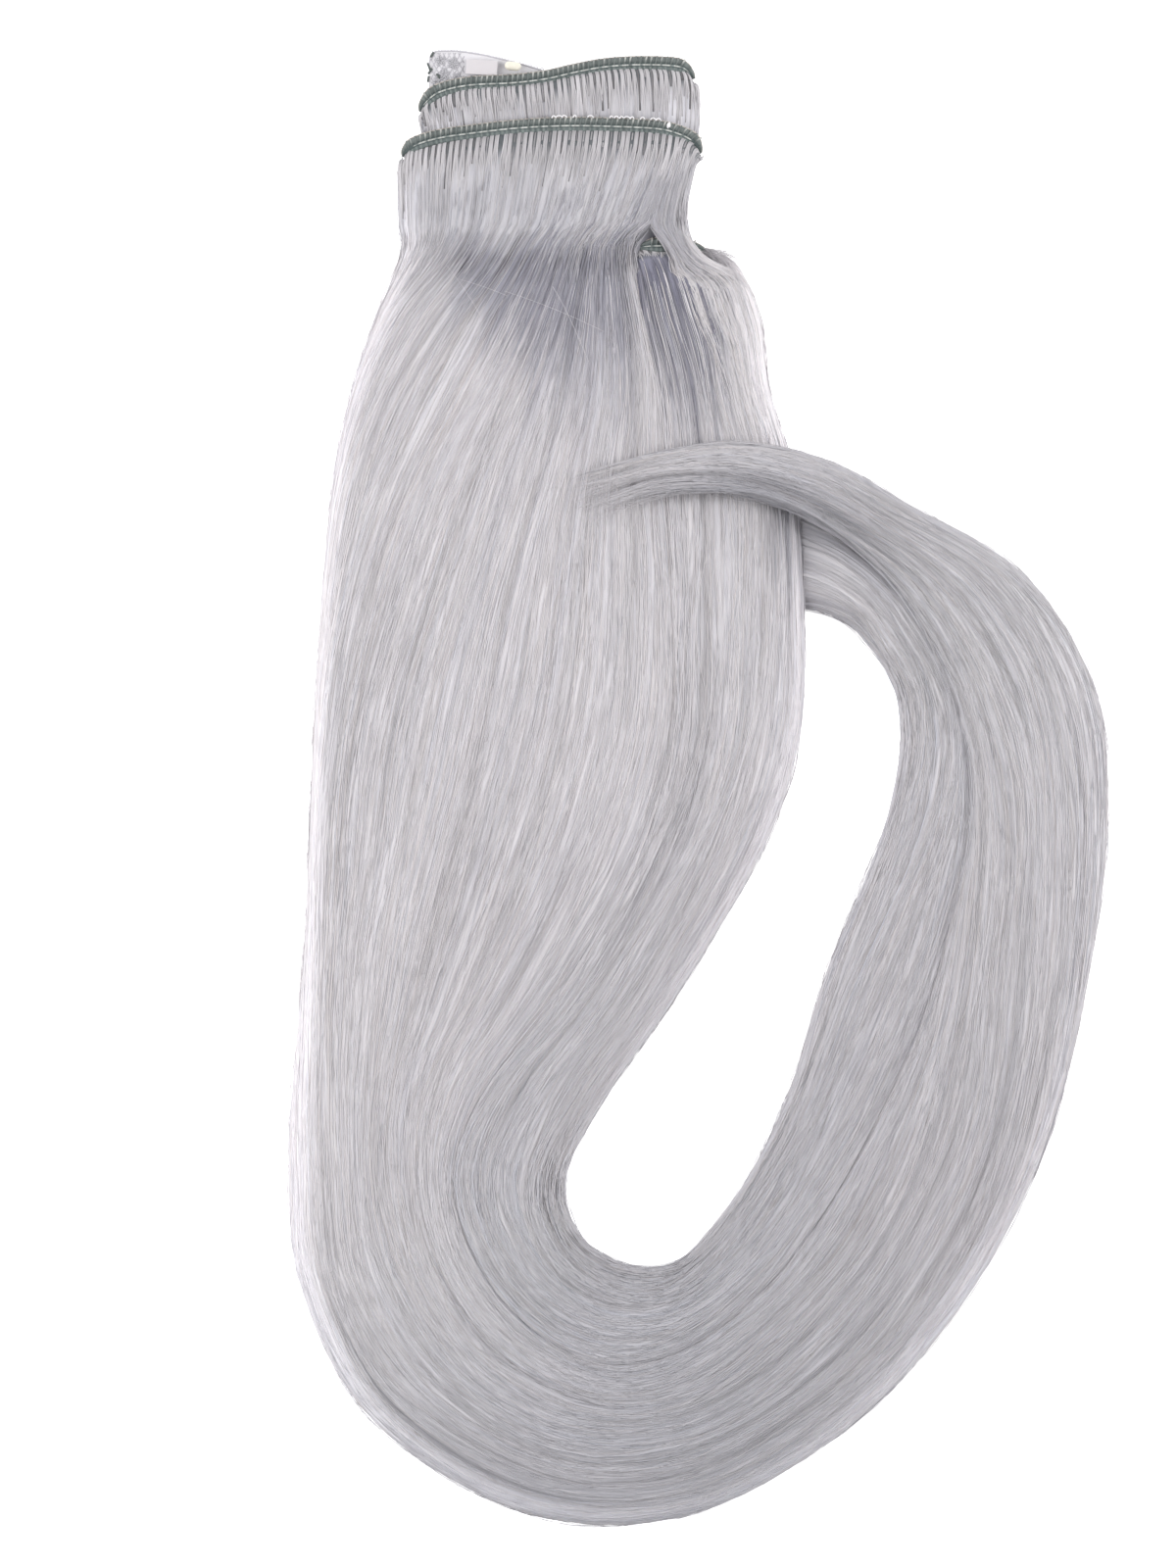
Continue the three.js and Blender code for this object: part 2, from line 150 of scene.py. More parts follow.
def catmull(points, t):
    """Uniform Catmull-Rom curve through the rows of points, with t counted in rows."""
    points = np.asarray(points, float)
    first = 2 * points[0] - points[1]
    last = 2 * points[-1] - points[-2]
    line = np.vstack([first, points, last])
    t = np.clip(np.asarray(t, float), 0, len(points) - 1)
    i = np.minimum(t.astype(int), len(points) - 2)
    f = (t - i)[..., None]
    a, b, c, d = line[i], line[i + 1], line[i + 2], line[i + 3]
    cubic = 3 * b - a - 3 * c + d
    square = 2 * a - 5 * b + 4 * c - d
    return 0.5 * (2 * b + (c - a) * f + square * f**2 + cubic * f**3)


def smooth(low, high, x):
    f = np.clip((x - low) / (high - low), 0, 1)
    return f * f * (3 - 2 * f)


def unit(v):
    return v / np.maximum(np.linalg.norm(v, axis=-1, keepdims=True), TINY)


def lengths_along(line):
    """Length from the start of a line to each of its points."""
    steps = np.linalg.norm(np.diff(line, axis=0), axis=1)
    return np.concatenate([[0], np.cumsum(steps)])


# A free edge of a tress is rounded and wraps under. A shared one runs on below its neighbour.
# Reaches are shares of the width, the height and the lift shares of the thickness
FREE, SHARED = "free", "shared"
FREE_REACH, FREE_HEIGHT, FREE_LIFT = 0.42, 0.4, 0.34
SHARED_REACH, UNDER_REACH, RIM_REACH = 0.16, 0.16, 0.5
# How steeply a shared edge runs down, how far a free one wraps under, and the least thickness
SINK, WRAP_LIMIT, LEAST_THICK = 0.6, 0.4, 0.3

# Where the hair leaves its band, from the band's middle, and how many sections it takes to settle
BAND_DROP, BAND_RISE, BAND_SETTLE = 0.6, 0.2, 0.6

# Points of a finely cut curve, cuts of a section, and the steps in t and p that a normal spans
FINE, SECTION_CUTS = 400, 60
NORMAL_T, NORMAL_P = 0.03, 0.006


class Tress:
    """The outer surface of a tress.

    t counts sections. p runs from 0 at the outer edge over the top to 1 at the inner edge, and past
    these it goes on round a free edge to the underside, or on below the neighbour. tone is the
    function of its colour at t, p, and grooves are the rows of those between its locks.
    """

    tone, grooves = None, ()

    def __init__(self, rows, left, right, band):
        self.rows = np.array([(*row, *USUAL[len(row):]) for row in rows], float)
        self.end = len(rows) - 1
        self.left, self.right = left, right
        line = catmull(band, np.linspace(0, len(band) - 1, FINE))
        self.band = line[np.argsort(line[:, 0])]
        self.grid = np.linspace(0, self.end, SECTION_CUTS * self.end + 1)
        c = catmull(self.rows, self.grid)
        self.wide = np.hypot(c[:, IX] - c[:, OX], c[:, IY] - c[:, OY])
        self.length = lengths_along((c[:, [OX, OY]] + c[:, [IX, IY]]) / 2)
        # p is spread evenly along the arc of a middling section
        self.share = (1 - np.cos(np.linspace(0, math.pi, FINE))) / 2
        dome = self.dome(self.share, 0, 0)
        arc = np.stack([self.share * np.median(self.wide), dome * np.median(c[:, CROWN])], axis=1)
        self.arc = lengths_along(arc) / lengths_along(arc)[-1]

    def row_at(self, s):
        return np.interp(s, self.length, self.grid)

    def run(self, t):
        return np.interp(t, self.grid, self.length)

    def width(self, t):
        return np.interp(t, self.grid, self.wide)

    def from_free_edges(self, p):
        """Shares of the width between p and each free edge."""
        sides = ((self.left, p), (self.right, 1 - p))
        return [inward for kind, inward in sides if kind == FREE]

    def dome(self, a, groove_left, groove_right):
        """Height of the top at a share a of the width, as a share of the thickness."""

        def edge(inward, kind, groove):
            reach, height = (FREE_REACH, FREE_HEIGHT) if kind == FREE else (SHARED_REACH, 1 - groove)
            inward = np.clip(inward / reach, 0, 1)
            return height + (1 - height) * np.sqrt(np.maximum(0, 1 - (1 - inward) ** 2))

        return np.minimum(edge(a, self.left, groove_left), edge(1 - a, self.right, groove_right))

    def point(self, t, p):
        c = catmull(self.rows, t)
        a = np.interp(np.clip(p, 0, 1), self.arc, self.share)
        wrapped, sunk = np.zeros(np.shape(p)), np.zeros(np.shape(p))
        for kind, past, edge, inward in ((self.left, -p, 0, 1), (self.right, p - 1, 1, -1)):
            past = np.maximum(past, 0)
            if kind == FREE:
                a = np.where(past > 0, edge + inward * np.minimum(past, WRAP_LIMIT), a)
                wrapped = wrapped + past
            else:
                a = a - inward * past
                sunk = sunk + past
        x = c[..., OX] + (c[..., IX] - c[..., OX]) * a
        y = c[..., OY] + (c[..., IY] - c[..., OY]) * a
        wide = np.hypot(c[..., IX] - c[..., OX], c[..., IY] - c[..., OY])
        base = np.maximum(0, c[..., BASE])
        thick = np.maximum(LEAST_THICK, c[..., CROWN] - base)
        inside = np.clip(a, 0, 1)
        z = base + self.dome(inside, c[..., GROOVE_LEFT], c[..., GROOVE_RIGHT]) * thick
        z = z + c[..., RIM] * (1 - smooth(0, RIM_REACH, inside)) - SINK * sunk * wide
        z = np.where(wrapped > 0, base + self.lift(inside) * thick, z)
        follow = np.clip(c[..., FOLLOW], 0, 1)
        band_y = np.interp(x, self.band[:, 0], self.band[:, 1]) - BAND_DROP
        band_z = np.interp(x, self.band[:, 0], self.band[:, 2]) + BAND_RISE
        y = y + follow * (band_y - y)
        z = z + np.clip(1 - t / BAND_SETTLE, 0, 1) * (band_z - z)
        return np.stack([x, y, z], axis=-1)

    def lift(self, inside):
        """Height of the underside near an edge, as a share of the thickness."""
        near = np.clip(np.minimum(inside, 1 - inside) / UNDER_REACH, 0, 1)
        return FREE_LIFT * (1 - near) ** 2

    def normal(self, t, p):
        along = self.point(t + NORMAL_T, p) - self.point(t - NORMAL_T, p)
        across = self.point(t, p + NORMAL_P) - self.point(t, p - NORMAL_P)
        return unit(np.cross(along, across))

    def bend(self, t, q):
        """Where a strand that starts at q lies across the tress."""
        c = catmull(self.rows, t)
        p = 1 - (1 - np.clip(q, 0, 1) ** c[..., FLOW]) ** c[..., TWIST]
        return np.where((q < 0) | (q > 1), q, p)

    def unbend(self, t, p):
        """Where a strand that lies at p started."""
        c = catmull(self.rows, t)
        q = (1 - (1 - np.clip(p, 0, 1)) ** (1 / c[..., TWIST])) ** (1 / c[..., FLOW])
        return np.where((p < 0) | (p > 1), p, q)


class Overlay(Tress):
    """A tress that leaves its band and comes down on another one."""

    def __init__(self, rows, left, right, band, onto, places, lands, lift_off):
        super().__init__(rows, left, right, band)
        self.onto, self.lands, self.lift_off = onto, lands, lift_off
        self.places = np.array(places, float).T

    def point(self, t, p):
        own = super().point(t, p)
        rows, sections, left = self.places
        left = np.interp(t, rows, left)
        there = self.onto.point(np.interp(t, rows, sections), left + (1 - left) * p)
        high = self.lift_off * (1 - smooth(self.lands[1], self.end, t))
        there = there + UP * high[..., None]
        return own + (there - own) * smooth(*self.lands, t)[..., None]


def tail_row(section, x, y, crown, rim, flow=1.0):
    beside = LOWER_ROWS[section]
    follow = 1 if section == TAIL_BESIDE[0][0] else 0
    return (beside[IX], beside[IY], x, y, 0, crown, flow, 0, 1, follow, beside[GROOVE_RIGHT], rim)


upper = Tress(UPPER_ROWS, FREE, FREE, UPPER_BAND)
lower = Tress(LOWER_ROWS, FREE, SHARED, LOWER_BAND)
tail = Tress([tail_row(*row) for row in TAIL_BESIDE] + TAIL_END, SHARED, FREE, TAIL_BAND)
side = Overlay(SIDE_ROWS, SHARED, FREE, LOWER_BAND, tail, SIDE_PLACES, SIDE_LANDS, SIDE_LIFT)


# Meshes


def mesh_object(name, verts, quads, tris):
    me = bpy.data.meshes.new(name)
    me.vertices.add(len(verts))
    me.vertices.foreach_set("co", (np.asarray(verts, np.float32) * MM).ravel())
    corners = np.concatenate([quads.ravel(), tris.ravel()]).astype(np.int32)
    me.loops.add(len(corners))
    me.loops.foreach_set("vertex_index", corners)
    starts = np.concatenate([np.arange(len(quads)) * 4, 4 * len(quads) + np.arange(len(tris)) * 3])
    me.polygons.add(len(starts))
    me.polygons.foreach_set("loop_start", starts.astype(np.int32))
    me.polygons.foreach_set("use_smooth", np.full(len(starts), True))
    me.update(calc_edges=True)
    return placed(name, me)


def placed(name, data):
    """A new object of the scene."""
    ob = bpy.data.objects.new(name, data)
    scene.collection.objects.link(ob)
    return ob


def paint(ob, colours):
    """The colour of each point, which the materials read."""
    layer = ob.data.color_attributes.new("tone", "FLOAT_COLOR", "POINT")
    rgba = np.ones((len(colours), 4), np.float32)
    rgba[:, :3] = colours
    layer.data.foreach_set("color", rgba.ravel())


def set_uv(ob, name, uv):
    layer = ob.data.uv_layers.new(name=name)
    layer.data.foreach_set("uv", np.asarray(uv, np.float32).ravel())


def belongs(ob, node, material):
    """A piece of the object: its material and the node that it stands for, if any."""
    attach(ob, "root")
    if node:
        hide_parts(node)
    ob.data.materials.append(material)
    return ob


# A tube that rises more steeply than this takes its sides from the north
STEEP = 0.95
# The bake map: corners of an end cap in the strip of its tube, and margins in a strip and in a band
CAP_U, CAP_V = [0.2, 0.8, 0.5], [0.0, 0.0, 0.004]
STRIP_MARGIN, BAND_MARGIN = 0.06, 0.03


def tubes(path, radius, tone, sides=3, turn=0.0, flat=1.0):
    """Closed tubes along paths of shape (count, steps, 3), with a tone for each point."""
    path = np.asarray(path, float)
    count, steps, _ = path.shape
    along = unit(np.gradient(path, axis=1))
    across = unit(np.cross(along, np.where(np.abs(along[..., 2:3]) > STEEP, NORTH, UP)))
    up = np.cross(across, along)
    angle = np.reshape(turn, (-1, 1)) + np.arange(sides) * FULL_TURN / sides
    wide = np.cos(angle)[:, None, :, None] * across[:, :, None, :]
    tall = flat * np.sin(angle)[:, None, :, None] * up[:, :, None, :]
    radius = np.broadcast_to(radius, (count, steps))[:, :, None, None]
    verts = path[:, :, None, :] + (wide + tall) * radius
    index = np.arange(count * steps * sides).reshape(count, steps, sides)
    beside = np.roll(index, -1, axis=2)
    quads = np.stack([index[:, :-1], index[:, 1:], beside[:, 1:], beside[:, :-1]], axis=-1)
    tris = []
    for k in range(1, sides - 1):
        tris.append(np.stack([index[:, 0, 0], index[:, 0, k], index[:, 0, k + 1]], axis=-1))
        tris.append(np.stack([index[:, -1, 0], index[:, -1, k + 1], index[:, -1, k]], axis=-1))
    # corners of walls and caps in the bake map: number of the tube, u and v in its strip
    number = np.arange(count)
    k, f = np.arange(sides) / sides, np.linspace(0, 1, steps)
    u = np.stack([k, k, k + 1 / sides, k + 1 / sides], axis=-1)
    v = np.stack([f[:-1], f[1:], f[1:], f[:-1]], axis=-1)
    walls = np.stack(np.broadcast_arrays(number[:, None, None, None], u, v[:, None]), axis=-1)
    caps = np.stack(np.broadcast_arrays(number[:, None], CAP_U, CAP_V), axis=-1)
    return {
        "count": count, "verts": verts.reshape(-1, 3),
        "quads": quads.reshape(-1, 4), "tris": np.concatenate(tris),
        "tone": np.repeat(np.broadcast_to(tone, (count, steps, 3)).reshape(-1, 3), sides, axis=0),
        "walls": walls.reshape(-1, 3), "caps": np.tile(caps.reshape(-1, 3), (len(tris), 1)),
    }


def joined(name, parts, bands):
    """One mesh of several sets of tubes. Its bake map lays the tubes out in bands of strips."""
    per_band = -(-sum(part["count"] for part in parts) // bands)
    points = np.cumsum([0] + [len(part["verts"]) for part in parts])
    numbers = np.cumsum([0] + [part["count"] for part in parts])[:, None] * (1, 0, 0)

    def together(key, starts):
        return np.concatenate([part[key] + start for part, start in zip(parts, starts)])

    ob = mesh_object(name, together("verts", 0 * points), together("quads", points), together("tris", points))
    paint(ob, together("tone", 0 * points))
    tube, u, v = np.concatenate([together("walls", numbers), together("caps", numbers)]).T
    x = (tube % per_band + STRIP_MARGIN + (1 - 2 * STRIP_MARGIN) * u) / per_band
    y = (tube // per_band + BAND_MARGIN + (1 - 2 * BAND_MARGIN) * v) / bands
    set_uv(ob, "OFBake", np.stack([x, y], axis=-1))
    return ob


# Materials

# The maps of packed hair start anew after this many sections, and fade over this part of them
SEGMENT, FADE = 2, (0.25, 0.75)
# Streaks: how many to a millimetre across and to a section along, and the tints of the darkest and of
# the lightest, which lie at the ends of the span of the noise
FINE_STREAKS, FINE_DARK, FINE_LIGHT = (2.6, 2.2), (0.88, 0.885, 0.90), (1.04, 1.04, 1.035)
BROAD_STREAKS, BROAD_DARK, BROAD_LIGHT = (0.45, 0.6), (0.945, 0.95, 0.965), (1.04, 1.035, 1.02)
NOISE_DETAIL, NOISE_ROUGHNESS, NOISE_SPAN = 2, 0.6, (0.3, 0.7)
BUMP_STRENGTH, BUMP_HEIGHT = 0.5, 0.0001


def new_material(name, rough, level):
    mat = bpy.data.materials.new(name)
    mat.use_nodes = True
    shader = mat.node_tree.nodes["Principled BSDF"]
    shader.inputs["Roughness"].default_value = rough
    shader.inputs["Specular IOR Level"].default_value = level
    return mat, mat.node_tree, shader


def add_node(tree, kind, output, inputs, **settings):
    """A new node, whose inputs are values or outputs of other nodes. Gives one of its outputs."""
    made = tree.nodes.new(kind)
    for key, value in settings.items():
        setattr(made, key, value)
    for key, value in inputs.items():
        if isinstance(value, bpy.types.NodeSocket):
            tree.links.new(value, made.inputs[key])
        else:
            made.inputs[key].default_value = value
    return made.outputs[output]


def tone_of(tree):
    return add_node(tree, "ShaderNodeVertexColor", "Color", {}, layer_name="tone")


def tone_material(name, rough, level):
    """The colours of the tone attribute as they are."""
    mat, tree, shader = new_material(name, rough, level)
    tree.links.new(tone_of(tree), shader.inputs["Base Color"])
    return mat


def ranged(tree, value, span, kind="LINEAR"):
    inputs = {"Value": value, "From Min": span[0], "From Max": span[1]}
    return add_node(tree, "ShaderNodeMapRange", "Result", inputs, interpolation_type=kind)


def map_fade(tree):
    """How far the map flow_a has given way to flow_b, from the start of a segment to its end."""
    flow = add_node(tree, "ShaderNodeUVMap", "UV", {}, uv_map="flow_a")
    along = add_node(tree, "ShaderNodeSeparateXYZ", "Y", {0: flow})
    segments = add_node(tree, "ShaderNodeMath", 0, {0: along, 1: SEGMENT}, operation="DIVIDE")
    part = add_node(tree, "ShaderNodeMath", 0, {0: segments}, operation="FRACT")
    return ranged(tree, part, FADE, "SMOOTHSTEP")


def streaks(tree, fade, across, along):
    """Noise drawn out along the strands: so many streaks to a millimetre across, to a section along."""
    noise = []
    for layer in ("flow_a", "flow_b"):
        flow = add_node(tree, "ShaderNodeUVMap", "UV", {}, uv_map=layer)
        inputs = {0: flow, 1: (across, along, 0)}
        flow = add_node(tree, "ShaderNodeVectorMath", "Vector", inputs, operation="MULTIPLY")
        inputs = {"Vector": flow, "Scale": 1, "Detail": NOISE_DETAIL, "Roughness": NOISE_ROUGHNESS}
        noise.append(add_node(tree, "ShaderNodeTexNoise", "Fac", inputs, noise_dimensions="2D"))
    return add_node(tree, "ShaderNodeMix", "Result", {"Factor": fade, "A": noise[0], "B": noise[1]})


def between(tree, factor, dark, light):
    inputs = {"Factor": factor, "A": (*dark, 1), "B": (*light, 1)}
    return add_node(tree, "ShaderNodeMix", "Result", inputs, data_type="RGBA")


def tinted(tree, colour, noise, dark, light):
    tint = between(tree, ranged(tree, noise, NOISE_SPAN), dark, light)
    inputs = {"Factor": 1, "A": colour, "B": tint}
    return add_node(tree, "ShaderNodeMix", "Result", inputs, data_type="RGBA", blend_type="MULTIPLY")


def packed_material(name, rough, level):
    """Packed hair: fine and broad streaks over the tone attribute, the fine ones raised."""
    mat, tree, shader = new_material(name, rough, level)
    fade = map_fade(tree)
    fine = streaks(tree, fade, *FINE_STREAKS)
    broad = streaks(tree, fade, *BROAD_STREAKS)
    colour = tinted(tree, tone_of(tree), fine, FINE_DARK, FINE_LIGHT)
    colour = tinted(tree, colour, broad, BROAD_DARK, BROAD_LIGHT)
    tree.links.new(colour, shader.inputs["Base Color"])
    inputs = {"Height": fine, "Strength": BUMP_STRENGTH, "Distance": BUMP_HEIGHT}
    tree.links.new(add_node(tree, "ShaderNodeBump", "Normal", inputs), shader.inputs["Normal"])
    return mat


strand_look = tone_material("hair_strands", rough=0.55, level=0.3)
core_look = packed_material("hair_core", rough=0.55, level=0.3)
weft_look = tone_material("weft_thread", rough=0.75, level=0.3)
lace_look = tone_material("lace_net", rough=0.8, level=0.2)


# Tones of the hair

SILVER = np.array([0.650, 0.627, 0.653])
# the painted shade in the gaps between the roots
ROOT_SHADE = np.array([0.13, 0.14, 0.15])
# Hair painted darker, mostly as painted shade, is a little bluer: the power of its factor in red, green and
# blue
COOLING = np.array([1.05, 1.0, 0.92])
# Free edges are painted lighter, a painted glow for light coming through thin hair: how much, how far from
# the edge and over what width in millimetres
EDGE_GLOW, EDGE_MIDDLE, EDGE_REACH = 0.36, 4.5, 3.8
# The underside is painted darker, a painted shade: the factor of its colour, and the p past a free edge from
# which it starts
UNDER_SHADE_FACTOR, UNDER_FROM = 0.55, 0.05

# Factor of the colour along each tress: section, factor. Those of the lower and second tresses and of the
# side lock also paint light and shade: darker where strands run across the light, as in the bend and the
# tongue, and where hair lies in shade by the ridge and the stub; lighter where a corner would lie in shadow
UPPER_TONE = [(0, 0.80), (4, 0.80)]
LOWER_TONE_AND_SHADING = [
    (0, 0.78), (2, 0.79), (3, 0.9), (5, 1), (10, 1.01), (12, 1.03), (13, 1.02), (14, 0.98), (15, 0.85),
    (16, 0.74), (17, 0.72), (18, 0.79), (19, 0.85), (20, 0.89), (21, 0.92), (22, 0.95), (23, 0.93),
    (24, 0.89), (26, 0.85), (27, 0.84), (28, 0.88), (29, 1.0), (30, 1.03),
]
TAIL_TONE_AND_SHADING = [
    (0, 1.35), (0.5, 1.2), (1.2, 1.04), (2, 1.03), (3, 1), (5, 0.98), (6, 0.93), (7, 0.88), (9, 0.86),
    (10, 0.84), (11, 0.77), (12, 0.73), (13, 0.74), (14, 0.80), (15, 0.84), (16, 0.87), (17, 0.90),
    (18, 0.91), (19, 0.91), (20, 0.92), (22, 0.90),
]
SIDE_TONE_AND_SHADING = [(0, 0.79), (2, 0.80), (3, 0.88), (4, 1.1), (5, 1.14), (6, 1.06), (8, 1.02), (9, 1.0)]

# Painted shade on a tress, where its hair lies in shadow: below the ridge of the neck, round the stub, along
# the seams, on the inner side of the lower tress, under the tongue and below the crossing. Columns: section,
# from p, to p, amount
NECK_SHADE_TINT = np.array([0.48, 0.47, 0.41])
STUB_SHADE_TINT = np.array([0.47, 0.465, 0.42])
SEAM_SHADE_TINT = np.array([0.46, 0.455, 0.43])
LOWER_NECK_SHADE = [
    (2.4, 0.20, 1.03, 0.0), (3.0, 0.22, 1.02, 0.5), (3.6, 0.26, 1.0, 0.92), (4.4, 0.34, 0.99, 0.95),
    (5.2, 0.50, 0.97, 0.8), (6.0, 0.64, 0.93, 0.35), (6.8, 0.75, 0.88, 0.0),
]
LOWER_SEAM_SHADE = [(18, 0.97, 1.2, 0.0), (21, 0.97, 1.2, 0.3), (24, 0.96, 1.2, 0.35), (25, 0.95, 1.2, 0.1)]
INNER_SHADE = [(9, 0.45, 1.2, 0.0), (11, 0.45, 1.2, 0.2), (13, 0.5, 1.2, 0.15), (15, 0.5, 1.2, 0.0)]
STUB_SHADE = [(1.4, 1.0, 1.4, 0.0), (2.0, 1.0, 1.4, 1.0), (3.4, 1.0, 1.4, 1.3), (4.2, 1.0, 1.4, 0.0)]
TONGUE_SHADE = [
    (24.2, 0.72, 1.2, 0.0), (25.2, 0.62, 1.2, 0.5), (26.4, 0.58, 1.2, 0.7), (27.4, 0.6, 1.2, 0.4),
    (28.4, 0.7, 1.2, 0.0),
]
SIDE_SHADE = [
    (2.0, -0.3, 0.40, 0.0), (2.8, -0.3, 0.64, 0.5), (4.2, -0.3, 0.60, 0.75), (4.8, -0.3, 0.44, 0.5),
    (5.4, -0.3, 0.30, 0.0),
]
TAIL_NECK_SHADE = [
    (0.0, -0.2, 0.70, 1.5), (0.6, -0.2, 0.62, 1.5), (1.2, -0.15, 0.54, 1.2), (1.7, -0.1, 0.52, 1.0),
    (2.3, 0.03, 0.46, 0.45), (2.9, 0.08, 0.40, 0.0),
]
TAIL_SEAM_SHADE = [
    (12, -0.2, 0.10, 0.0), (15, -0.2, 0.10, 0.12), (18, -0.2, 0.12, 0.3), (20, -0.2, 0.12, 0.45),
    (21, -0.2, 0.2, 0.45), (22, -0.2, 0.3, 0.5),
]
CROSSING_SHADE = [
    (2.85, 0.58, 1.2, 0.0), (3.1, 0.58, 1.2, 0.8), (3.35, 0.6, 1.2, 1.0), (3.6, 0.64, 1.2, 0.6),
    (3.9, 0.66, 1.2, 0.25), (4.3, 0.7, 1.2, 0.0),
]
STREAK_SHADE = [
    (2.95, 0.62, 0.80, 0.0), (3.15, 0.62, 0.80, 0.7), (3.7, 0.64, 0.80, 0.5), (4.3, 0.66, 0.80, 0.2),
    (4.9, 0.68, 0.80, 0.0),
]
# A shade comes in and goes out over these distances in p round its two edges
SHADE_IN, SHADE_OUT = (-0.10, 0.14), (-0.08, 0.06)
# Locks leave a shade at different heights: sections, turns across the tress, start of the turn
DRIFTS = [(0.20, 7.5, 0.0), (0.15, 18.0, 1.7), (0.10, 36.5, 0.6)]
# Sections between which the painted glow of an edge ends
LOWER_GLOW_ENDS, TAIL_GLOW_ENDS = (18.5, 22), (7, 10)


def shade_at(table, t, p):
    rows, low, high, much = np.array(table, float).T
    for reach, turns, start in DRIFTS:
        t = t + reach * np.sin(FULL_TURN * turns * p + start)
    low, high, much = (np.interp(t, rows, column) for column in (low, high, much))
    begun = smooth(low + SHADE_IN[0], low + SHADE_IN[1], p)
    return much * begun * (1 - smooth(high + SHADE_OUT[0], high + SHADE_OUT[1], p))


def toned(tress, table, shades=(), glow=EDGE_GLOW, glow_ends=None):
    """A function that gives the colour of a tress at t, p.

    shades are pairs of a table of painted shade and its tint. Free edges get a painted glow, up to the
    sections glow_ends, and painted shade where they wrap underneath.
    """
    rows, factor = np.array(table, float).T

    def tone(t, p):
        wide = tress.width(t)
        lit, under = np.zeros(np.shape(p)), np.zeros(np.shape(p))
        # each free edge gets a painted glow, and painted shade where it wraps underneath
        for inward in tress.from_free_edges(p):
            lit = lit + np.exp(-(((inward * wide - EDGE_MIDDLE) / EDGE_REACH) ** 2))
            under = under + smooth(0, UNDER_FROM, -inward)
        if glow_ends:
            lit = lit * (1 - smooth(*glow_ends, t))
        colour = SILVER * np.interp(t, rows, factor)[..., None] ** COOLING
        colour = colour * ((1 + glow * lit) * (1 - (1 - UNDER_SHADE_FACTOR) * under))[..., None]
        for shade, tint in shades:
            colour = colour * (1 - shade_at(shade, t, p)[..., None] * tint)
        return colour

    return tone


lower_shades = [
    (LOWER_NECK_SHADE, NECK_SHADE_TINT), (STUB_SHADE, STUB_SHADE_TINT), (INNER_SHADE, SEAM_SHADE_TINT),
    (LOWER_SEAM_SHADE, SEAM_SHADE_TINT), (TONGUE_SHADE, SEAM_SHADE_TINT),
]
tail_shades = [
    (TAIL_NECK_SHADE, STUB_SHADE_TINT), (TAIL_SEAM_SHADE, SEAM_SHADE_TINT), (CROSSING_SHADE, SEAM_SHADE_TINT),
    (STREAK_SHADE, SEAM_SHADE_TINT),
]
upper.tone = toned(upper, UPPER_TONE)
lower.tone = toned(lower, LOWER_TONE_AND_SHADING, lower_shades, glow_ends=LOWER_GLOW_ENDS)
tail.tone = toned(tail, TAIL_TONE_AND_SHADING, tail_shades, glow_ends=TAIL_GLOW_ENDS)
side.tone = toned(side, SIDE_TONE_AND_SHADING, [(SIDE_SHADE, STUB_SHADE_TINT)], glow=0)
pale_lower = toned(lower, LOWER_TONE_AND_SHADING)
pale_tail = toned(tail, TAIL_TONE_AND_SHADING, glow=0)


# Grooves between locks

# Columns: q, first and last section, depth, half width
LOWER_CREASES = [
    (0.67, 6.8, 11.2, 0.55, 0.9), (0.57, 7.4, 10.5, 0.4, 0.9), (0.74, 7.0, 10.0, 0.35, 0.9),
    (0.86, 8.5, 12.0, 0.4, 0.9), (0.96, 9.8, 11.8, 0.6, 0.8), (1.0, 8.2, 10.2, 0.6, 0.9),
    (0.57, 13.4, 17.2, 0.9, 0.8), (0.44, 13.8, 16.5, 0.4, 0.8), (0.74, 14.6, 19.5, 0.5, 0.9),
    (0.66, 18.5, 22.5, 0.6, 0.9), (0.52, 19.0, 21.8, 0.6, 0.9), (0.62, 22.0, 25.5, 0.5, 0.9),
    (0.76, 21.0, 26.5, 0.5, 0.9),
]
# Ranges of grooves drawn at random: q, sections that they run, depth before its power, half width
GROOVE_Q, GROOVE_RUN, GROOVE_DEPTH, GROOVE_HALF = (0.03, 0.99), (3, 9), (0.15, 1.0), (0.75, 1.3)
GROOVE_POWER, GROOVE_LAST = 1.5, 2
# Sections over which a groove fades, how dark its painted shade is, and the step in q that shows how tight
# hair is
GROOVE_FADE, GROOVE_SHADE, ROOM_STEP = 1.5, 0.25, 0.01


def lock_grooves(count, seed, tress, deepest):
    rng = np.random.default_rng(seed)
    q = rng.uniform(*GROOVE_Q, count)
    start = rng.uniform(0, tress.end - GROOVE_LAST, count)
    end = start + rng.uniform(*GROOVE_RUN, count)
    depth = rng.uniform(*GROOVE_DEPTH, count) ** GROOVE_POWER * deepest
    half = rng.uniform(*GROOVE_HALF, count)
    return np.stack([q, start, end, depth, half], axis=1)


def groove_depth(tress, t, p):
    """How deep the grooves between locks cut at t, p: less at free edges and in tightly packed hair."""
    cut = np.zeros(np.shape(t))
    wide = tress.width(t)
    for q, start, end, depth, half in tress.grooves:
        run = smooth(start, start + GROOVE_FADE, t) * (1 - smooth(end - GROOVE_FADE, end, t))
        if np.any(run > 0):
            at, beside = (tress.bend(t, np.full(np.shape(t), v)) for v in (q, q - ROOM_STEP))
            room = np.clip((at - beside) / ROOM_STEP, 0, 1)
            off = (p - at) * wide / half
            cut = np.maximum(cut, depth * run * room * np.exp(-off * off))
    for inward in tress.from_free_edges(p):
        cut = cut * smooth(0, EDGE_REACH, inward * wide)
    return cut


# painted shade in the grooves, darker where they cut deeper
def groove_shade(cut):
    return (1 - GROOVE_SHADE * np.clip(cut, 0, 1))[..., None]


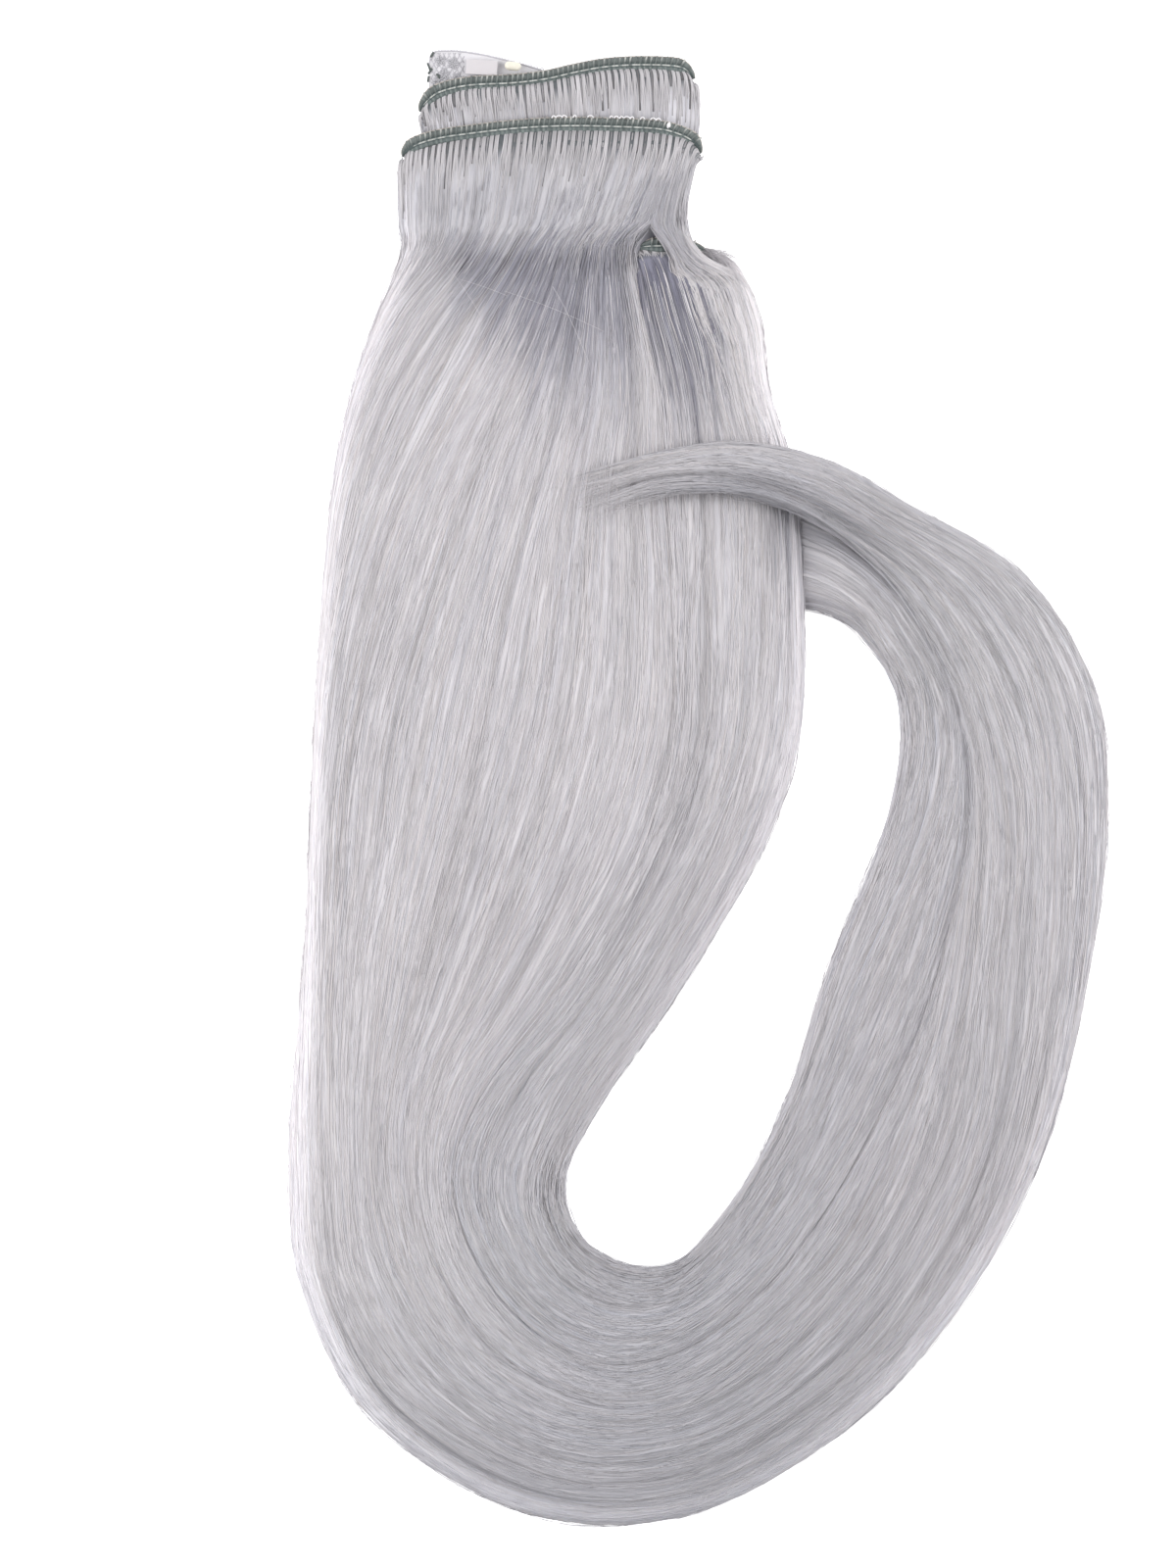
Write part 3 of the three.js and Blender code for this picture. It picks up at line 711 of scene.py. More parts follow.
upper.grooves = lock_grooves(14, 13, upper, deepest=0.25)
lower.grooves = np.vstack([lock_grooves(110, 11, lower, deepest=0.5), LOWER_CREASES])
tail.grooves = lock_grooves(50, 12, tail, deepest=0.5)
side.grooves = lock_grooves(12, 14, side, deepest=0.5)


# Packed hair under the strands

CORE_CUTS, CORE_INSET = 10, 0.15
# A core that ends before its tress gets thinner: over how many sections, by what share, how much lower
THIN_RUN, THIN_SHARE, THIN_SINK = 1.8, 0.4, 2.2
# Lowest top, base over that of the tress, share of its lift, least thickness
CORE_FLOOR, CORE_BASE, CORE_LIFT, CORE_LEAST = 0.3, 0.02, 0.9, 0.1
# The painted shade in the gaps between the roots ends over this share of its length, and over this p where
# the sewing ends
ROOT_DARK, SEWN_FADE = 0.55, 0.08
# The bake map: corners of an end face, and the margin
CAP_CORNERS = [[0, 0], [0.0004, 0], [0.0004, 0.004], [0, 0.004]]
CORE_MARGIN = 0.01
# p up to which the second tress is sewn to its stub
TAIL_SEWN = 0.76


def core(name, node, tress, across, root, first=0, last=None, span=(0.0, 1.0), sewn=2.0):
    """A closed body below the surface of a tress, with painted shade between the roots, which are sewn up to
    p.
    """
    last = tress.end if last is None else last
    t = np.linspace(first, last, round((last - first) * CORE_CUTS) + 1)
    # columns follow the strands, set so that none lie far apart where the strands are drawn aside
    fine = np.linspace(0, 1, 1000)
    even = np.interp(np.linspace(0, 1, across), (fine + fine**4) / 2, fine)
    over = span[0] + (span[1] - span[0]) * even
    tt, qq = np.meshgrid(t, over, indexing="ij")
    pp = tress.bend(tt, qq)
    cut = groove_depth(tress, tt, pp)
    thin = smooth(last - THIN_RUN, last, tt) if last < tress.end else 0 * tt
    pp = 0.5 + (pp - 0.5) * (1 - THIN_SHARE * thin)
    inset = CORE_INSET + cut + THIN_SINK * thin
    top = tress.point(tt, pp) - tress.normal(tt, pp) * inset[..., None]
    top[..., 2] = np.maximum(top[..., 2], CORE_FLOOR)
    under = top.copy()
    c = catmull(tress.rows, tt)
    base = np.maximum(0.0, c[..., BASE]) + CORE_BASE
    thick = np.maximum(LEAST_THICK, c[..., CROWN] - base)
    under[..., 2] = np.minimum(base + CORE_LIFT * tress.lift(pp) * thick, top[..., 2] - CORE_LEAST)
    ring = np.concatenate([top, under[:, ::-1]], axis=1)
    walls, ends = ring_faces(*ring.shape[:2])
    no_tris = np.zeros((0, 3), int)
    ob = mesh_object(name, ring.reshape(-1, 3), np.concatenate([walls, ends]), no_tris)
    colour = tress.tone(tt, pp) * groove_shade(cut)
    # painted shade in the gaps between the roots, fading where the sewing ends
    dark = 1 - smooth(ROOT_DARK * root, root, tress.run(tt))
    dark = dark * (1 - smooth(sewn - SEWN_FADE, sewn + SEWN_FADE, pp))
    colour = colour + (ROOT_SHADE - colour) * dark[..., None]
    # the underside of the core is painted darker, a painted shade
    paint(ob, np.concatenate([colour, UNDER_SHADE_FACTOR * colour[:, ::-1]], axis=1).reshape(-1, 3))
    core_maps(ob, tress, t, np.concatenate([over, over[::-1]]), len(ends))
    return belongs(ob, node, core_look)


def ring_faces(n, m):
    """Faces of a closed body of n rings of m points, each along the top and back underneath."""
    index = np.arange(n * m).reshape(n, m)
    beside = np.roll(index, -1, axis=1)
    walls = np.stack([index[:-1], index[1:], beside[1:], beside[:-1]], axis=-1).reshape(-1, 4)
    k = np.arange(m // 2 - 1)
    near, far = index[0], index[-1]
    front = np.stack([near[k], near[k + 1], near[m - 2 - k], near[m - 1 - k]], axis=-1)
    back = np.stack([far[k + 1], far[k], far[m - 1 - k], far[m - 2 - k]], axis=-1)
    return walls, np.concatenate([front, back])


def core_maps(ob, tress, t, ring_q, ends):
    """Maps of packed hair: its streaks at the start and at the end of a segment, and the bake map."""
    n, m = len(t), len(ring_q)

    def corners(here, ahead):
        beside, ahead_beside = np.roll(here, -1, axis=1), np.roll(ahead, -1, axis=1)
        return np.stack([here, ahead, ahead_beside, beside], axis=-1)

    flat = np.zeros((1, m))
    along = corners(t[:-1, None] + flat, t[1:, None] + flat)
    segment = np.floor(t[:-1] / SEGMENT + 1e-6) * SEGMENT
    for layer, reach in (("flow_a", 0), ("flow_b", SEGMENT)):
        section = np.minimum(segment + reach, tress.end)[:, None] + flat
        line = tress.bend(section, ring_q + flat) * tress.width(section)
        flow = np.stack([corners(line, line), along], axis=-1).reshape(-1, 2)
        set_uv(ob, layer, np.concatenate([flow, np.zeros((4 * ends, 2))]))
    strip = (np.arange(m) + 0.5) / (m + 1)
    u = np.stack([strip, strip, strip + 1 / (m + 1), strip + 1 / (m + 1)], axis=-1)
    u = np.broadcast_to(u, (n - 1, m, 4))
    v = CORE_MARGIN + (1 - 2 * CORE_MARGIN) * along / t[-1]
    bake = np.stack([u, v], axis=-1).reshape(-1, 2)
    set_uv(ob, "OFBake", np.concatenate([bake, np.tile(CAP_CORNERS, (ends, 1))]))


core("hair_upper_core", "hair_upper", upper, 60, root=7.5)
core("hair_lower_core", "hair_lower", lower, 110, root=9.5, last=28, span=(0, 1.03))
# hair that fills the hole above the stub, painted dark by the stub's painted shade
core("hair_gap_core", None, lower, 8, root=9.5, first=1.8, last=5, span=(1.0, 1.1))
core("hair_tail_core", "hair_tail", tail, 50, root=3.5, span=(-0.06, 1), sewn=TAIL_SEWN)
core("hair_side_core", None, side, 24, root=8.5, last=5.5)


# Single strands

# Radius, depth below the surface, least height over the table, least length
STRAND_RADIUS, STRAND_TOP, STRAND_FLOOR, STRAND_LEAST = 0.10, 0.02, 0.2, 4
# A strand dives at its ends: how deep, over what length, over what length at a root; spread of roots
DIVE, DIVE_RUN, ROOT_RUN, ROOT_SPREAD = 0.4, 20.0, 3.0, (-2, 4)
ALL_ALONG = (0, 1e4)
# Locks draw their strands together: how much, the length of a swell, and its start from lock to lock
LOCKS = 70
PULL, PULL_RUN, PULL_START = 0.12, 22, 2.4
# The whole tress sways: reach, length and shift across; from where, and the least width it counts with
SWAYS = [(0.35, 20, 9), (0.22, 9, 23)]
SWAY_FROM, SWAY_WIDTH = (4, 40), 6
# Waves of a single strand: reach, length, spread of the length
OWN_REACH, OWN_WAVE = 0.45, (60, 0.6)
SMALL_REACH, SMALL_WAVE = 0.1, (16, 0.4)
LAYER_WAVE = (90, 0.5)
# Range of thickness, and how much thinner a tip gets and from where
STRAND_THICK, TIP_TAPER, TIP_FROM = (0.75, 1.25), 0.75, 0.4
# Most strands are alike, and a few are darker: the most and the mean, of locks and of strands
LOCK_DARK, STRAND_DARK, STRAND_LIGHT = (0.2, 0.03), (0.3, 0.05), 1.06
HUE_SPREAD, HUE_WAY = 0.012, np.array([1.0, 0.1, -1.0])
# A shade reaches further on some locks and strands: the spread in millimetres
LOCK_STRAY, STRAND_STRAY = 3.5, 2


def strand_places(tress, rng, count, span, first, near, half, fray, lean):
    """Where strands lie: q, start and stop along the tress, and whether they are rooted or end there."""
    end = tress.length[-1]
    area = np.gradient(tress.length) * tress.wide
    area = np.where((tress.length >= near[0]) & (tress.length <= near[1]), area, 0)
    middle = np.interp(rng.random(count), np.cumsum(area) / area.sum(), tress.length)
    middle = np.maximum(middle, first)
    across = span[0] + (span[1] - span[0]) * rng.random(count) ** lean
    q = tress.unbend(tress.row_at(middle), across)
    order = np.argsort(q)
    q, middle = q[order], middle[order]
    start = middle - rng.uniform(*half, count)
    rooted = start < first
    start = np.where(rooted, first + rng.uniform(*ROOT_SPREAD, count), start)
    stop = middle + rng.uniform(*half, count)
    tipped = stop > end - fray
    stop = np.where(tipped, end - fray * rng.random(count), stop)
    stop = np.maximum(stop, start + STRAND_LEAST)
    return (column[:, None] for column in (q, start, stop, rooted, tipped))


def strands(name, tress, count, steps, seed, span, first=6.5, near=ALL_ALONG, half=(30.0, 90.0),
            radius=STRAND_RADIUS, layer=0.12, rise=0.0, fray=3.0, loose=0.0, contrast=1.0, lean=1.0,
            tone=None):
    """Single strands in and on the surface of a tress, each coming up and going under again.

    span is their range of p, first the length from the band where they start at the earliest, near
    the range of length where their middles lie, half the range of half their length, layer how deep
    and rise how high they lie, fray the length over which the tips end, loose how far they bow off
    the surface, contrast how much darker some of them are, and lean below 1 makes them fewer towards
    the start of the span.
    """
    rng = np.random.default_rng(seed)
    q, start, stop, rooted, tipped = strand_places(tress, rng, count, span, first, near, half, fray, lean)
    f = np.linspace(0, 1, steps)[None, :]
    s = start + (stop - start) * f
    t = tress.row_at(s)

    def wave(long, spread):
        rate = FULL_TURN / (long * (1 + spread * rng.uniform(-1, 1, (count, 1))))
        return np.sin(s * rate + rng.uniform(0, FULL_TURN, (count, 1)))

    locks = np.sort(rng.uniform(0, 1, LOCKS))
    which = np.argmin(np.abs(q - locks[None, :]), axis=1)
    pull = PULL * (1 + np.sin(s / PULL_RUN + which[:, None] * PULL_START))
    drawn = q + (locks[which][:, None] - q) * pull
    p = tress.bend(t, np.where((q >= 0) & (q <= 1), drawn, q))
    sway = sum(reach * np.sin(s / long + shift * q) for reach, long, shift in SWAYS)
    own = rng.normal(0, OWN_REACH, (count, 1)) * wave(*OWN_WAVE) + SMALL_REACH * wave(*SMALL_WAVE)
    p = p + smooth(*SWAY_FROM, s) * (sway + own) / np.maximum(tress.width(t), SWAY_WIDTH)
    cut = groove_depth(tress, t, p)
    depth = STRAND_TOP + layer * (0.5 + 0.5 * wave(*LAYER_WAVE)) - rise + cut
    depth = depth + DIVE * (1 - smooth(0, np.where(rooted, ROOT_RUN, DIVE_RUN), s - start))
    depth = depth + np.where(tipped, 0, DIVE * (1 - smooth(0, DIVE_RUN, stop - s)))
    depth = depth - loose * rng.random((count, 1)) * np.sin(math.pi * f) ** 2
    path = tress.point(t, p) - tress.normal(t, p) * depth[..., None]
    path[..., 2] = np.maximum(path[..., 2], STRAND_FLOOR)
    thick = radius * rng.uniform(*STRAND_THICK, (count, 1))
    thick = thick * np.where(tipped, 1 - TIP_TAPER * smooth(TIP_FROM, 1.0, f), 1)
    colour = strand_tones(tress, tone or tress.tone, rng, s, p, which, contrast) * groove_shade(cut)
    made = tubes(path, thick, colour, turn=rng.uniform(0, FULL_TURN, count))
    return belongs(joined(name, [made], bands=4), None, strand_look)


def strand_tones(tress, tone, rng, s, p, which, contrast):
    """Colours along strands that lie at length s and p, each in its lock."""
    count = len(which)

    def darker(most, mean, size):
        return np.minimum(most, rng.exponential(mean, size))

    lock_shade = 1 - darker(*LOCK_DARK, LOCKS)
    shade = lock_shade[which] * (STRAND_LIGHT - contrast * darker(*STRAND_DARK, count))
    hue = 1 + rng.normal(0, HUE_SPREAD, (count, 1)) * HUE_WAY
    stray = rng.normal(0, LOCK_STRAY, LOCKS)[which] + rng.normal(0, STRAND_STRAY, count)
    return tone(tress.row_at(s + stray[:, None]), p) * (shade[:, None] * hue)[:, None, :]


# Sets of strands: name, tress, how many, points of each, seed, and what differs from the usual
for k in range(2):
    strands(f"hair_lower_strands_{k + 1}", lower, 1240, 22, 21 + k, span=(-0.05, 1.03), fray=30)
strands("hair_tail_strands", tail, 1230, 22, 31, span=(-0.06, 1.06))
# the stub, its free edge, and pale strands over its painted shade and over the painted shade of the neck
strands("hair_stub_strands", tail, 300, 14, 32, span=(-0.06, 0.9), first=2.5, near=(0, 36),
        half=(12, 40), contrast=2.2)
strands("hair_stub_edge", tail, 260, 12, 36, span=(0.72, 1.05), first=0.5, near=(0, 18), half=(6, 22),
        tone=pale_tail)
strands("hair_stub_lights", tail, 60, 14, 34, span=(-0.05, 0.7), first=4, near=(0, 36), half=(12, 40),
        radius=0.07, rise=0.1, tone=pale_tail)
strands("hair_neck_lights", lower, 110, 14, 35, span=(0.2, 1), first=12, near=(20, 60), half=(12, 36),
        radius=0.07, rise=0.06, tone=pale_lower)
# the tip, the lock that crosses the stub with its brim, and the skirt of the upper row
strands("hair_tip_strands", lower, 430, 12, 33, span=(-0.02, 1.02), near=(lower.length[-1] - 50, 1e4),
        half=(14, 40), fray=36)
strands("hair_side_strands", side, 520, 16, 41, span=(-0.14, 1.04), first=6, half=(10, 40), fray=30,
        lean=0.65)
strands("hair_side_brim", side, 120, 12, 42, span=(-0.1, 0.14), first=12, near=(15, 46), half=(6, 20))
strands("hair_upper_strands", upper, 400, 8, 51, span=(-0.02, 1.02), first=5.5, half=(4, 9))
strands("hair_upper_smooth", upper, 240, 8, 53, span=(0.48, 1.02), first=3.4, half=(4, 9))
# hair round the ends of the bands
strands("hair_lower_end", lower, 60, 10, 54, span=(-0.06, 0.06), first=2, near=(0, 24), half=(6, 18))
strands("hair_side_end", side, 60, 10, 55, span=(0.6, 1.05), first=2, near=(0, 24), half=(6, 18))
strands("hair_upper_left_end", upper, 40, 8, 56, span=(-0.04, 0.04), first=2, half=(4, 9))
# finer hair standing off the surface and round the edges
strands("hair_loose_strands", lower, 70, 14, 61, span=(-0.1, 1), radius=0.06, loose=0.8)
strands("hair_lower_fuzz", lower, 300, 10, 62, span=(-0.03, 0.02), radius=0.05, half=(8, 22), rise=0.3,
        loose=0.5)
strands("hair_tail_fuzz", tail, 220, 10, 63, span=(0.98, 1.04), radius=0.05, half=(8, 22), rise=0.3,
        loose=0.5)


# Roots

# Teeth of hair: spacing, unevenness of the spacing, strands of each, their radius, points and sides
TOOTH, TOOTH_OFF, TOOTH_STRANDS = 1.25, 0.18, 4
TOOTH_RADIUS, TOOTH_STEPS, TOOTH_SIDES = 0.14, 8, 5
# Half width at the band and what it gains further down, as shares of the spacing
TOOTH_HALF, TOOTH_GAIN = 0.2, 0.25
# Length as a share of the reach, depth at the end, tone at the band, spread of tones
TOOTH_LONG, TOOTH_DIVE, TOOTH_DARK, TOOTH_TONES, TOOTH_STRAND_TONES = (0.8, 1.3), 0.3, 0.82, 0.05, 0.06
# Deeper hair in the gaps: share of the gaps, length, depth, radius, flatness, and tone, darker as painted
# shade
GAP_SHARE, GAP_LONG, GAP_DEPTH, GAP_RADIUS, GAP_FLAT, GAP_SHADE_TONE = 0.8, (0.5, 1.1), 0.25, 0.3, 0.5, (0.3, 0.9)


def roots(name, tress, seed, reach, level, sewn=1.0):
    """Bundles of hair coming out of a band like the teeth of a comb, with deeper hair in the gaps painted
    darker as shade.
    """
    rng = np.random.default_rng(seed)
    wide = tress.width(0.0)
    count = int(wide / TOOTH)
    at = (np.arange(count) + 0.5 + rng.uniform(-TOOTH_OFF, TOOTH_OFF, count)) / count
    at = at[at < sewn]
    count = len(at)
    f = np.linspace(0, 1, TOOTH_STEPS)[None, :]

    def path(p, long, depth):
        t = tress.row_at(long * f) + 0 * p
        return tress.point(t, p) - tress.normal(t, p) * (depth + 0 * p)[..., None]

    # the strands of a tooth lie close at the band and spread further down
    tooth = np.repeat(at, TOOTH_STRANDS)[:, None]
    beside = np.tile(np.linspace(-1, 1, TOOTH_STRANDS), count)[:, None]
    spread = TOOTH / wide * (TOOTH_HALF + TOOTH_GAIN * smooth(0.5, 1.0, f))
    long = reach * rng.uniform(*TOOTH_LONG, (len(tooth), 1))
    line = path(tooth + beside * spread, long, STRAND_TOP + TOOTH_DIVE * smooth(0.6, 1.0, f))
    shade = np.repeat(rng.normal(1, TOOTH_TONES, count), TOOTH_STRANDS)
    shade = shade * rng.normal(1, TOOTH_STRAND_TONES, len(tooth))
    lighter = TOOTH_DARK + (1 - TOOTH_DARK) * smooth(0, 0.5, f)
    colour = SILVER * level * shade[:, None, None] * lighter[..., None]
    parts = [tubes(line, TOOTH_RADIUS, colour, TOOTH_SIDES)]
    # some gaps are part closed
    gap = ((at[:-1] + at[1:]) / 2)[rng.random(count - 1) < GAP_SHARE]
    long = reach * rng.uniform(*GAP_LONG, (len(gap), 1))
    line = path(gap[:, None] + 0 * f, long, GAP_DEPTH)
    colour = SILVER * level * rng.uniform(*GAP_SHADE_TONE, (len(gap), 1, 1))
    parts.append(tubes(line, GAP_RADIUS, colour, TOOTH_SIDES, flat=GAP_FLAT))
    return belongs(joined(name, parts, bands=1), None, strand_look)


roots("hair_upper_roots", upper, 71, reach=9, level=0.80)
roots("hair_lower_roots", lower, 72, reach=11, level=0.78)
roots("hair_side_roots", side, 73, reach=11, level=0.78)
roots("hair_tail_roots", tail, 74, reach=3, level=0.74, sewn=TAIL_SEWN)


# Stray hairs

# Hairs that lie across the hair below the weft. Columns: section and p at the start and at the end
STRAYS = [(4.2, 0.36, 4.6, 0.54), (4.5, 0.53, 5.2, 0.86), (3.8, 0.30, 5.0, 0.46), (4.4, 0.70, 5.6, 0.80)]
STRAY_LIFT, STRAY_BOW, STRAY_RADIUS, STRAY_STEPS = 0.3, 0.7, 0.05, 16
# Short hairs that stand out to the right of the stub: how many, where they start, how far they reach
# to the right, down and up, how they bow, radius and taper
FLYAWAYS = 160
FLYAWAY_ROOT, FLYAWAY_SPREAD = np.array([0.8, 109.6, 4.6]), np.array([1.6, 0.8, 0.5])
FLYAWAY_REACH, FLYAWAY_FALL, FLYAWAY_RISE = (2, 10), (1, 11), (-1.5, 2.5)
FLYAWAY_BOW_X, FLYAWAY_BOW_Y, FLYAWAY_BOW_Z = 0.1, 0.22, (0, 1)
FLYAWAY_RADIUS, FLYAWAY_TAPER = 0.045, 0.6


def stray_hairs():
    rng = np.random.default_rng(64)
    f = np.linspace(0, 1, STRAY_STEPS)
    across = []
    for t0, p0, t1, p1 in STRAYS:
        t, p = t0 + (t1 - t0) * f, p0 + (p1 - p0) * f
        off = STRAY_LIFT + STRAY_BOW * np.sin(math.pi * f)
        across.append(lower.point(t, p) + lower.normal(t, p) * off[:, None])
    start = FLYAWAY_ROOT + FLYAWAY_SPREAD * rng.uniform(-1, 1, (FLYAWAYS, 3))
    reach, fall = rng.uniform(*FLYAWAY_REACH, FLYAWAYS), rng.uniform(*FLYAWAY_FALL, FLYAWAYS)
    stop = start + np.stack([reach, -fall, rng.uniform(*FLYAWAY_RISE, FLYAWAYS)], axis=1)
    high = rng.uniform(*FLYAWAY_BOW_Z, FLYAWAYS)
    bow = np.stack([FLYAWAY_BOW_X * reach, FLYAWAY_BOW_Y * fall, high], axis=1)
    g = f[None, :, None]
    fly = start[:, None] * (1 - g) + stop[:, None] * g + bow[:, None] * np.sin(math.pi * g)
    taper = FLYAWAY_RADIUS * (1 - FLYAWAY_TAPER * f)[None]
    parts = [tubes(across, STRAY_RADIUS, SILVER), tubes(fly, taper, SILVER)]
    return belongs(joined("hair_strays", parts, bands=1), None, strand_look)


stray_hairs()


# Sewn bands

THREAD_DARK = np.array([0.075, 0.095, 0.095])
THREAD_MID = np.array([0.19, 0.215, 0.21])
THREAD_LIGHT = np.array([0.46, 0.47, 0.45])
THREAD_WARM = np.array([0.52, 0.47, 0.43])
THREAD_WHITE = np.array([0.86, 0.84, 0.86])
STITCH = 1.06
# Cuts along a band, what is left off at its ends, the run of its taper and how thin it ends
BAND_STEP, BAND_ENDS, BAND_TAPER, BAND_THIN = 0.26, 0.3, 5.0, 0.4
BAND_FINE, CORD_SIDES = 2000, 8
# The line between the cords is dashed, and the tone of threads is mottled
DASH_LEVEL, MOTTLE = -0.55, (0.75, 1.3)
# Whip stitches over the upper cord: turn, middle and size of the arc across and upwards, lean, radius; the
# most of the painted highlight on the far half of each arc, and the stitches left off at each end
WHIP_TURN, WHIP_ACROSS, WHIP_UP = (-0.25, 0.92 * math.pi), (0.72, 0.82), (0.12, 0.74)
WHIP_LEAN, WHIP_RADIUS, WHIP_HIGHLIGHT, WHIP_ENDS = 0.23, 0.2, 1.3, 3
# White loops: share of the stitches, half width, foot and size across the band, height, radius
LOOP_SHARE, LOOP_HALF, LOOP_FOOT, LOOP_SIZE = 0.6, (0.3, 0.7), 1.35, 0.55
LOOP_HEIGHT, LOOP_RADIUS, THREAD_SIDES = 0.45, 0.14, 5
# White knot: from and to across the band, height, radius at its ends and what it gains, points
KNOT_ACROSS, KNOT_HEIGHT, KNOT_RADIUS, KNOT_GAIN, KNOT_STEPS = (0.15, 1.5), 0.7, 0.12, 0.34, 7


def band_frame(path, step):
    """Places along a band, with the direction to its upper edge and the way along it at each."""
    fine = catmull(path, np.linspace(0, len(path) - 1, BAND_FINE))
    run = lengths_along(fine)
    at = np.arange(BAND_ENDS, run[-1] - BAND_ENDS, step)
    points = np.stack([np.interp(at, run, fine[:, k]) for k in range(3)], axis=1)
    along = unit(np.gradient(points, axis=0) * (1, 1, 0))
    upward = np.stack([-along[:, 1], along[:, 0], 0 * at], axis=1)
    return at, points, upward, along


def cords(path, rng):
    """The flat tape of a band with its two cords, the line between them and the warm upper edge."""
    at, points, upward, _ = band_frame(path, BAND_STEP)
    taper = BAND_THIN + (1 - BAND_THIN) * smooth(0, BAND_TAPER, np.minimum(at, at[-1] - at))
    stitch = (0.5 + 0.5 * np.sin(at * FULL_TURN / STITCH))[:, None]
    dash = np.sin(at * math.pi / STITCH)[:, None] > DASH_LEVEL
    mottle = rng.uniform(*MOTTLE, (len(at), 1))
    knotted = THREAD_DARK + (THREAD_MID - THREAD_DARK) * (0.2 + 0.6 * stitch)
    # distance above the middle, height, radius, tone, how flat
    runs = [
        (0.0, -0.1, 1.4, THREAD_DARK + 0 * mottle, 0.5),
        (-0.95, 0.25, 0.48 + 0.07 * stitch[:, 0], knotted * mottle, 1),
        (-0.2, 0.42, 0.22, np.where(dash, THREAD_LIGHT, THREAD_MID) * mottle, 1),
        (0.75, 0.15, 0.66, THREAD_MID * 0.75 * mottle, 1),
        (1.5, -0.1, 0.16, THREAD_WARM * mottle, 1),
    ]
    made = []
    for across, height, radius, tone, flat in runs:
        line = points + (upward * across + UP * height) * taper[:, None]
        made.append(tubes(line[None], (radius * taper)[None], tone[None], CORD_SIDES, flat=flat))
    return made


def whip_stitches(path, rng):
    """Short arcs of thread over the upper cord, with a painted highlight on the far half of each arc."""
    _, foot, upward, along = (v[WHIP_ENDS:-WHIP_ENDS] for v in band_frame(path, STITCH))
    turn = np.linspace(*WHIP_TURN, 8)
    out = WHIP_ACROSS[0] - WHIP_ACROSS[1] * np.cos(turn)
    high = WHIP_UP[0] + WHIP_UP[1] * np.sin(turn)
    arc = foot[:, None] + upward[:, None] * out[None, :, None] + UP * high[None, :, None]
    arc = arc + along[:, None] * (WHIP_LEAN * out)[None, :, None]
    light = rng.uniform(0, WHIP_HIGHLIGHT, (len(foot), 1, 1)) * smooth(0.4, 1.0, out)[None, :, None]
    tone = THREAD_MID * 0.8 + (THREAD_LIGHT - THREAD_MID) * light
    return tubes(arc, WHIP_RADIUS, tone, THREAD_SIDES)


def white_loops(path, rng, first, last, knot_x):
    """Loops of white thread along the upper edge from first to last, and a knot over the cord."""
    _, foot, upward, along = band_frame(path, STITCH)
    pick = np.flatnonzero((foot[:, 0] > first) & (foot[:, 0] < last))
    pick = pick[rng.random(len(pick)) < LOOP_SHARE]
    turn = np.linspace(0, math.pi, 9)
    wide = rng.uniform(*LOOP_HALF, (len(pick), 1, 1))
    out = LOOP_FOOT + LOOP_SIZE * np.sin(turn)
    loop = foot[pick, None] + upward[pick, None] * out[None, :, None]
    loop = loop - along[pick, None] * wide * np.cos(turn)[None, :, None] + UP * LOOP_HEIGHT
    k = np.argmin(np.abs(foot[:, 0] - knot_x))
    knot = foot[k] + upward[k] * np.linspace(*KNOT_ACROSS, KNOT_STEPS)[:, None] + UP * KNOT_HEIGHT
    swell = KNOT_RADIUS + KNOT_GAIN * np.sin(np.linspace(0, math.pi, KNOT_STEPS))
    loops = tubes(loop, LOOP_RADIUS, THREAD_WHITE, THREAD_SIDES)
    return [loops, tubes(knot[None], swell[None], THREAD_WHITE, CORD_SIDES)]


def weft(name, node, path, seed, loops=None):
    rng = np.random.default_rng(seed)
    parts = cords(path, rng) + [whip_stitches(path, rng)]
    if loops:
        parts += white_loops(path, rng, *loops)
    return belongs(joined(name, parts, bands=1), node, weft_look)


weft("weft_upper_sewn", "weft_upper", UPPER_BAND, 81)
weft("weft_lower_sewn", "weft_lower", LOWER_BAND, 82, loops=(-29.5, -7.5, -6.3))
weft("weft_tail_sewn", "weft_tail", TAIL_BAND, 83)


# Lace tab

LACE_OUTLINE = np.array([
    (-55.2, 141.0), (-55.2, 148.0), (-54.4, 150.6), (-51.2, 151.0), (-47.6, 150.8),
    (-42.0, 149.8), (-34.0, 147.7), (-28.6, 145.8), (-28.6, 141.0),
])
LACE_BASE, LACE_THICK = 0.5, 0.4
LACE_TONE = np.array([0.70, 0.685, 0.715])
LACE_THREAD = np.array([0.56, 0.55, 0.585])
THREAD_LEVEL = LACE_BASE + LACE_THICK + 0.05
# The bound edge: radius of its thread; first place, spacing, half width, height and radius of its loops
EDGE_RADIUS = 0.2
PICOT_FIRST, PICOT_SPACING, PICOT_HALF, PICOT_HIGH, PICOT_RADIUS = 3.2, 1.25, 0.36, 0.5, 0.1
# The part with a net: left, right, low, high; and the slant, spacing and radius of the net's threads
NET = (-54.9, -47.8, 142.0, 150.6)
NET_SLANT, NET_SPACING, NET_RADIUS = 0.55, 1.05, 0.085
# Flowers worked on the net: x, y, size; the middle and the depth of their petals, and the radius
FLOWERS = [
    (-52.8, 149.0, 1.1), (-50.2, 148.4, 1.2), (-52.0, 146.2, 1.2),
    (-49.4, 145.6, 1.0), (-53.6, 144.6, 0.9), (-50.6, 144.0, 0.9),
]
PETALS, PETAL_MIDDLE, PETAL_DEPTH, FLOWER_RADIUS, FLOWER_LIFT = 5, 0.62, 0.38, 0.17, 0.12
